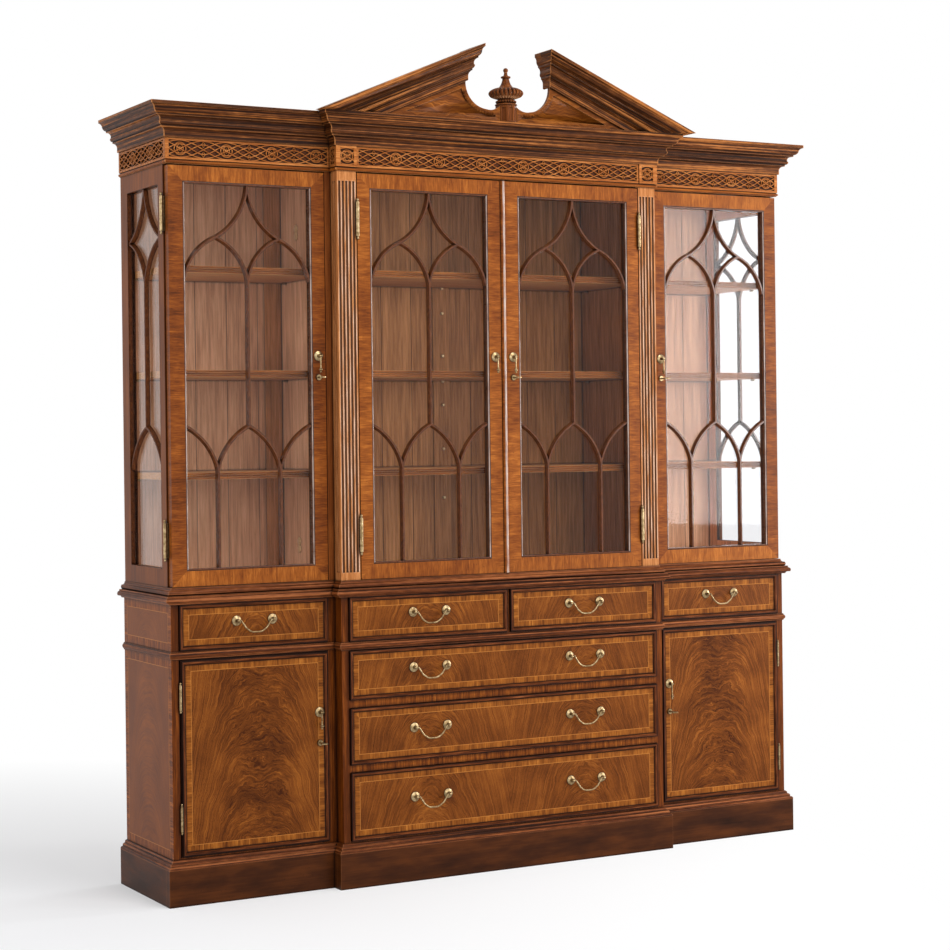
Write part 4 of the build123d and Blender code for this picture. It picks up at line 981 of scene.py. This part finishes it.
finialSettings = {
    "depth": rakeFace - 75.0, "foot": 2146.0, "ribs": 24, "ribRadius": 4.7, "steps": 48,
    "weld": 0.02,
    # radius and rise of the turned core, from the foot up
    "core": [(0, 0.1), (29.0, 0.1), (31.4, 1.6), (31.4, 3.4), (29.5, 5.0), (26.0, 6.0),
             (24.6, 8.0), (24.4, 11.0), (25.4, 12.6), (25.4, 14.0), (23.6, 15.4), (23.4, 18.0),
             (27.0, 20.5), (35.0, 24.0), (42.5, 29.5), (44.5, 33.5), (42.5, 38.0), (36.0, 43.5),
             (29.0, 47.5), (22.5, 50.5), (18.5, 54.0), (14.6, 60.0), (11.8, 66.5), (10.0, 73.0),
             (9.6, 77.4), (13.0, 78.4), (14.0, 80.0), (14.0, 81.6), (12.6, 83.0), (7.6, 84.2),
             (5.6, 87.0), (4.8, 91.0), (4.8, 95.0), (0, 95.0)],
    # radius, rise and thickness share along one gadroon
    "rib": [(25.5, 48.2, 0.40), (33.0, 45.0, 0.72), (40.2, 40.4, 0.92), (44.6, 35.6, 1.0),
            (42.4, 30.6, 0.94), (35.0, 26.0, 0.74), (28.0, 22.6, 0.52), (24.4, 19.6, 0.34)],
    "beads": 22, "beadRadius": 3.5, "beadRing": 26.4, "beadRise": 11.0, "ball": 7.0,
    "ballRise": 100.0}


def around(axis, angle):
    return Matrix.Translation(axis) @ Matrix.Rotation(angle, 4, "Z") @ Matrix.Translation(-axis)


def makeFinial(material):
    # turned finial: core, gadroons round the bulb, a ring of beads below and a ball on top
    s = finialSettings
    axis = at(0, s["depth"], 0)
    foot = at(0, s["depth"], s["foot"])
    bpy.ops.mesh.primitive_plane_add(size=mm, location=foot)
    core = settled(bpy.context.object)
    startEditing()
    bpy.ops.mesh.delete(type="VERT")
    outline = bmesh.from_edit_mesh(core.data)
    line = [outline.verts.new(foot + Vector((radius * mm, 0, rise * mm)))
            for radius, rise in s["core"]]
    for start, end in zip(line, line[1:]):
        outline.edges.new((start, end))
    bmesh.update_edit_mesh(core.data)
    bpy.ops.mesh.select_all(action="SELECT")
    bpy.ops.mesh.spin(steps=s["steps"], angle=radians(360), center=foot, axis=(0, 0, 1))
    bpy.ops.mesh.select_all(action="SELECT")
    bpy.ops.mesh.remove_doubles(threshold=s["weld"] * mm)
    bpy.ops.mesh.normals_make_consistent(inside=False)
    endEditing()

    rib = swept([foot + Vector((radius * mm, 0, rise * mm)) for radius, rise, _ in s["rib"]],
                "AUTO", [share for _, _, share in s["rib"]], resolution_u=4, bevel_resolution=2,
                bevel_depth=s["ribRadius"] * mm, use_fill_caps=True)
    rib.matrix_world = Matrix.Identity(4)

    spot = foot + Vector((s["beadRing"] * mm, 0, s["beadRise"] * mm))
    bpy.ops.mesh.primitive_ico_sphere_add(subdivisions=2, radius=s["beadRadius"] * mm,
                                          location=spot)
    bead = settled(bpy.context.object)
    pieces = [core]
    for source, count, shift in ((rib, s["ribs"], 0), (bead, s["beads"], 0.5)):
        turns = [around(axis, 2 * pi * (i + shift) / count) for i in range(count)]
        pieces.append(repeated(source, turns, "ring"))
    bpy.ops.mesh.primitive_uv_sphere_add(segments=24, ring_count=16, radius=s["ball"] * mm,
                                         location=foot + Vector((0, 0, s["ballRise"] * mm)))
    pieces.append(settled(bpy.context.object))
    finial = joined(pieces, "finial")
    smoothed(50)
    dress(finial, "cabinet", "dark_mahogany", material, "pediment")


pedestalSettings = {"flats": 56.0, "depth": rakeFace - 75.0, "foot": 2096.0, "height": 50.0,
                    "margin": 5.6, "slope": 1.6, "sink": 3.2, "round": 0.9}


def chosenFaces(piece, test):
    # in edit mode: the faces whose normal passes the test
    shape = bmesh.from_edit_mesh(piece.data)
    for face in shape.faces:
        face.select = test(face.normal)
    bmesh.update_edit_mesh(piece.data)


def makePedestal(material):
    # eight sided block, a stopped flute sunk in every face
    s = pedestalSettings
    turn = 180 / 8
    block = rod(8, s["flats"] / 2 / cos(radians(turn)), s["height"], (0, 0, turn),
                at(0, s["depth"], s["foot"] + s["height"] / 2))
    startEditing("DESELECT", "FACE")
    chosenFaces(block, lambda normal: abs(normal.z) < 0.5)
    bpy.ops.mesh.inset(thickness=s["margin"] * mm, use_individual=True)
    bpy.ops.mesh.inset(thickness=s["slope"] * mm, depth=-s["sink"] * mm, use_individual=True)
    endEditing()
    softened(block, s["round"], 3)
    smoothed(35)
    block.name = "finialPedestal"
    dress(block, "cabinet", "dark_mahogany", material, "pediment")


# points on the turned parts of the CAD pediment: top of the finial, corner of its block
turnedSpots = (at(0, rakeFace - 75, 2253), at(28, rakeFace - 63.4, 2146))


def makePedimentBody(material):
    # the raking cornices and their board as the CAD has them, without the turned parts
    source = frame["nodes"]["pediment"]
    body = bpy.data.objects.new("pedimentBody", source.data.copy())
    bpy.context.collection.objects.link(body)
    pick(body)
    startEditing()
    bpy.ops.mesh.remove_doubles(threshold=0.01 * mm)
    bpy.ops.mesh.select_all(action="DESELECT")
    shape = bmesh.from_edit_mesh(body.data)
    for spot in turnedSpots:
        min(shape.verts, key=lambda vert: (vert.co - spot).length).select = True
    bmesh.update_edit_mesh(body.data)
    bpy.ops.mesh.select_linked()
    bpy.ops.mesh.delete(type="VERT")
    endEditing()
    smoothed(28)
    dress(body, "cabinet", "dark_mahogany", material, "pediment")
    low = min((v.co.z for v in body.data.vertices)) / mm
    print("pediment body kept from", round(low), "mm, faces", len(body.data.polygons))


reedSettings = {"radius": 2.7, "sides": 14, "pitch": 5.7, "rows": (-1, 0, 1), "sunk": 1.0,
                "back": 1.6, "levels": (1130.0, 1403.0, 1680.0), "thickness": 18.0,
                "bays": (("Left", -974.2, -520.8, 296.0), ("Centre", -498.2, 498.2, 330.0),
                         ("Right", 520.8, 974.2, 296.0))}


def makeReeds(material):
    # three reeds along the front edge of every shelf
    s = reedSettings
    rows = [level - s["thickness"] / 2 + row * s["pitch"]
            for level in s["levels"] for row in s["rows"]]
    for bay, x0, x1, depth in s["bays"]:
        reed = rod(s["sides"], s["radius"], x1 - x0, (0, 90, 0))
        startEditing()
        bpy.ops.mesh.bisect(plane_co=(0, s["back"] * mm, 0), plane_no=(0, 1, 0), use_fill=True,
                            clear_outer=True)
        endEditing()
        moves = [Matrix.Translation(at((x0 + x1) / 2, depth - s["sunk"], z)) for z in rows]
        whole = repeated(reed, moves, "shelfReeds" + bay)
        smoothed(40)
        dress(whole, "cabinet", "mahogany", material)


beadSettings = {"width": 5.0, "rise": 3.2, "round": 1.9, "floor": 4.0}


def makeGlazingBeads():
    # small rounded moulding round the opening of every glazed door
    s = beadSettings
    z0, z1 = glazedSettings["levels"]
    for door, (x0, x1, face, *_) in glazedSettings["doors"].items():
        bpy.ops.mesh.primitive_plane_add(size=1, rotation=(radians(90), 0, 0))
        ring = bpy.context.object
        ring.name = door + "_bead"
        ring.scale = ((x1 - x0 + 2 * s["width"]) * mm, (z1 - z0 + 2 * s["width"]) * mm, 1)
        ring.location = at((x0 + x1) / 2, face - s["floor"], (z0 + z1) / 2)
        settled(ring)
        startEditing()
        bpy.ops.mesh.inset(thickness=s["width"] * mm)
        bpy.ops.mesh.delete(type="FACE")
        bpy.ops.mesh.select_all(action="SELECT")
        bpy.ops.mesh.extrude_region_move(TRANSFORM_OT_translate={"value": (0, -s["rise"] * mm, 0)})
        bpy.ops.mesh.select_all(action="SELECT")
        bpy.ops.mesh.normals_make_consistent(inside=False)
        endEditing()
        softened(ring, s["round"], 3)
        smoothed(40)
        dress(ring, door, "cross_veneer", nodes[door].data.materials[0])


backSettings = {"depth": 10.0, "rise": 3.0, "levels": (831.0, 1941.0), "round": 0.8,
                "stiles": ((-28.0, 28.0), (-573.0, -521.5), (521.5, 573.0))}


def makeBackStiles(material):
    # flat stiles that cover the joints of the planked back
    s = backSettings
    z0, z1 = s["levels"]
    back = at(0, s["depth"], 0)
    boards = [softened(flatBoard("backStile", x0, x1, z0, z1, back, s["rise"]), s["round"], 2)
              for x0, x1 in s["stiles"]]
    whole = joined(boards, "backStiles")
    dress(whole, "cabinet", "mahogany", material)


pegSettings = {"radius": 4.2, "rise": 7.0, "round": 1.4, "x": 2.0, "depth": 13.0, "sunk": 0.6,
               "levels": (1659.0, 1585.0, 1458.0, 1383.0, 1313.0, 1182.0, 1108.0, 1037.0)}


def makePegs(material):
    # brass shelf pegs down the middle stile
    s = pegSettings
    peg = softened(rod(16, s["radius"], s["rise"], (90, 0, 0)), s["round"], 3)
    depth = s["depth"] + s["rise"] / 2 - s["sunk"]
    moves = [Matrix.Translation(at(s["x"], depth, level)) for level in s["levels"]]
    whole = repeated(peg, moves, "shelfPegs")
    smoothed(40)
    dress(whole, "cabinet", "aged_brass", material)


boltSettings = {"radius": 11.5, "rise": 3.4, "depth": 116.0, "x": 520.0,
                "levels": (1808.0, 1787.0, 929.0, 908.0), "steps": ((2.2, 0.9), (2.0, 0.7))}


def makeBolts(material):
    # brass connector heads on the partitions beside the wing bays
    s = boltSettings
    bolt = rod(20, s["radius"], s["rise"], (0, 90, 0))
    startEditing("DESELECT", "FACE")
    chosenFaces(bolt, lambda normal: abs(normal.x) > 0.9)
    for inset, rise in s["steps"]:
        bpy.ops.mesh.inset(thickness=inset * mm, depth=rise * mm, use_individual=True)
    endEditing()
    moves = [Matrix.Translation(at(side * s["x"], s["depth"], level))
             for side in (-1, 1) for level in s["levels"]]
    whole = repeated(bolt, moves, "connectorHeads")
    smoothed(35)
    dress(whole, "cabinet", "aged_brass", material)


addCamera(cameraSettings)
addStage(floorSettings)
addLamps()
print("room set")

nodes = frame["nodes"]
glass = clearGlass()
brass = agedBrass()
bright = brightBrass()
edgeWood = plainTimber("shelfEdgeTimber")
turnedWood = plainTimber("turnedTimber")
pedimentWood = pedimentTimber()
finishes = {"plinth": runTimber("plinthTimber", 2.0, "plinth"), "base_case": baseTimber(),
            "case_mouldings": runTimber("darkMouldingTimber", 1.0), "upper_case": upperTimber(),
            "shelves": plainTimber("shelfTimber"), "cornice": corniceTimber(),
            "pediment": pedimentWood}

s = frontSettings
for name, piece in nodes.items():
    low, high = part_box(name)
    x0, x1, z0, z1 = low.x / mm, high.x / mm, low.z / mm, high.z / mm
    face = wall - low.y / mm
    if name in finishes:
        paint(piece, finishes[name])
    elif name.endswith("_glass"):
        paint(piece, glass)
    elif name.endswith(("_rosettes", "_brass", "_drop", "_key")) or "_bail" in name:
        paint(piece, brass)
    elif name.endswith("_cupboard_door"):
        heart = (x0 + x1) / 2 + s["doorHeart"][0 if x0 < 0 else 1]
        inset = s["doorInset"]
        box = (x0 + inset, x1 - inset, z0 + inset, z1 - inset, face)
        paint(piece, frontTimber(name + "Veneer", box, [heart], True))
    elif "_drawer" in name:
        hearts = [(x0 + x1) / 2] if x1 - x0 < s["wide"] else s["wideHearts"]
        inset = s["drawerInset"]
        box = (x0 + inset, x1 - inset, z0 + s["drawerFoot"], z1, face)
        paint(piece, frontTimber(name + "Veneer", box, hearts, False))
    elif name.endswith("_glazed_door"):
        paint(piece, glazedTimber(name + "Veneer", name))
print("finishes laid")

makeFret(plainTimber("fretTimber"))
makePedimentBody(pedimentWood)
makePedestal(turnedWood)
makeFinial(turnedWood)
makeReeds(edgeWood)
makeGlazingBeads()
makeBackStiles(plainTimber("stileTimber"))
makePegs(bright)
makeBolts(bright)
print("details made")
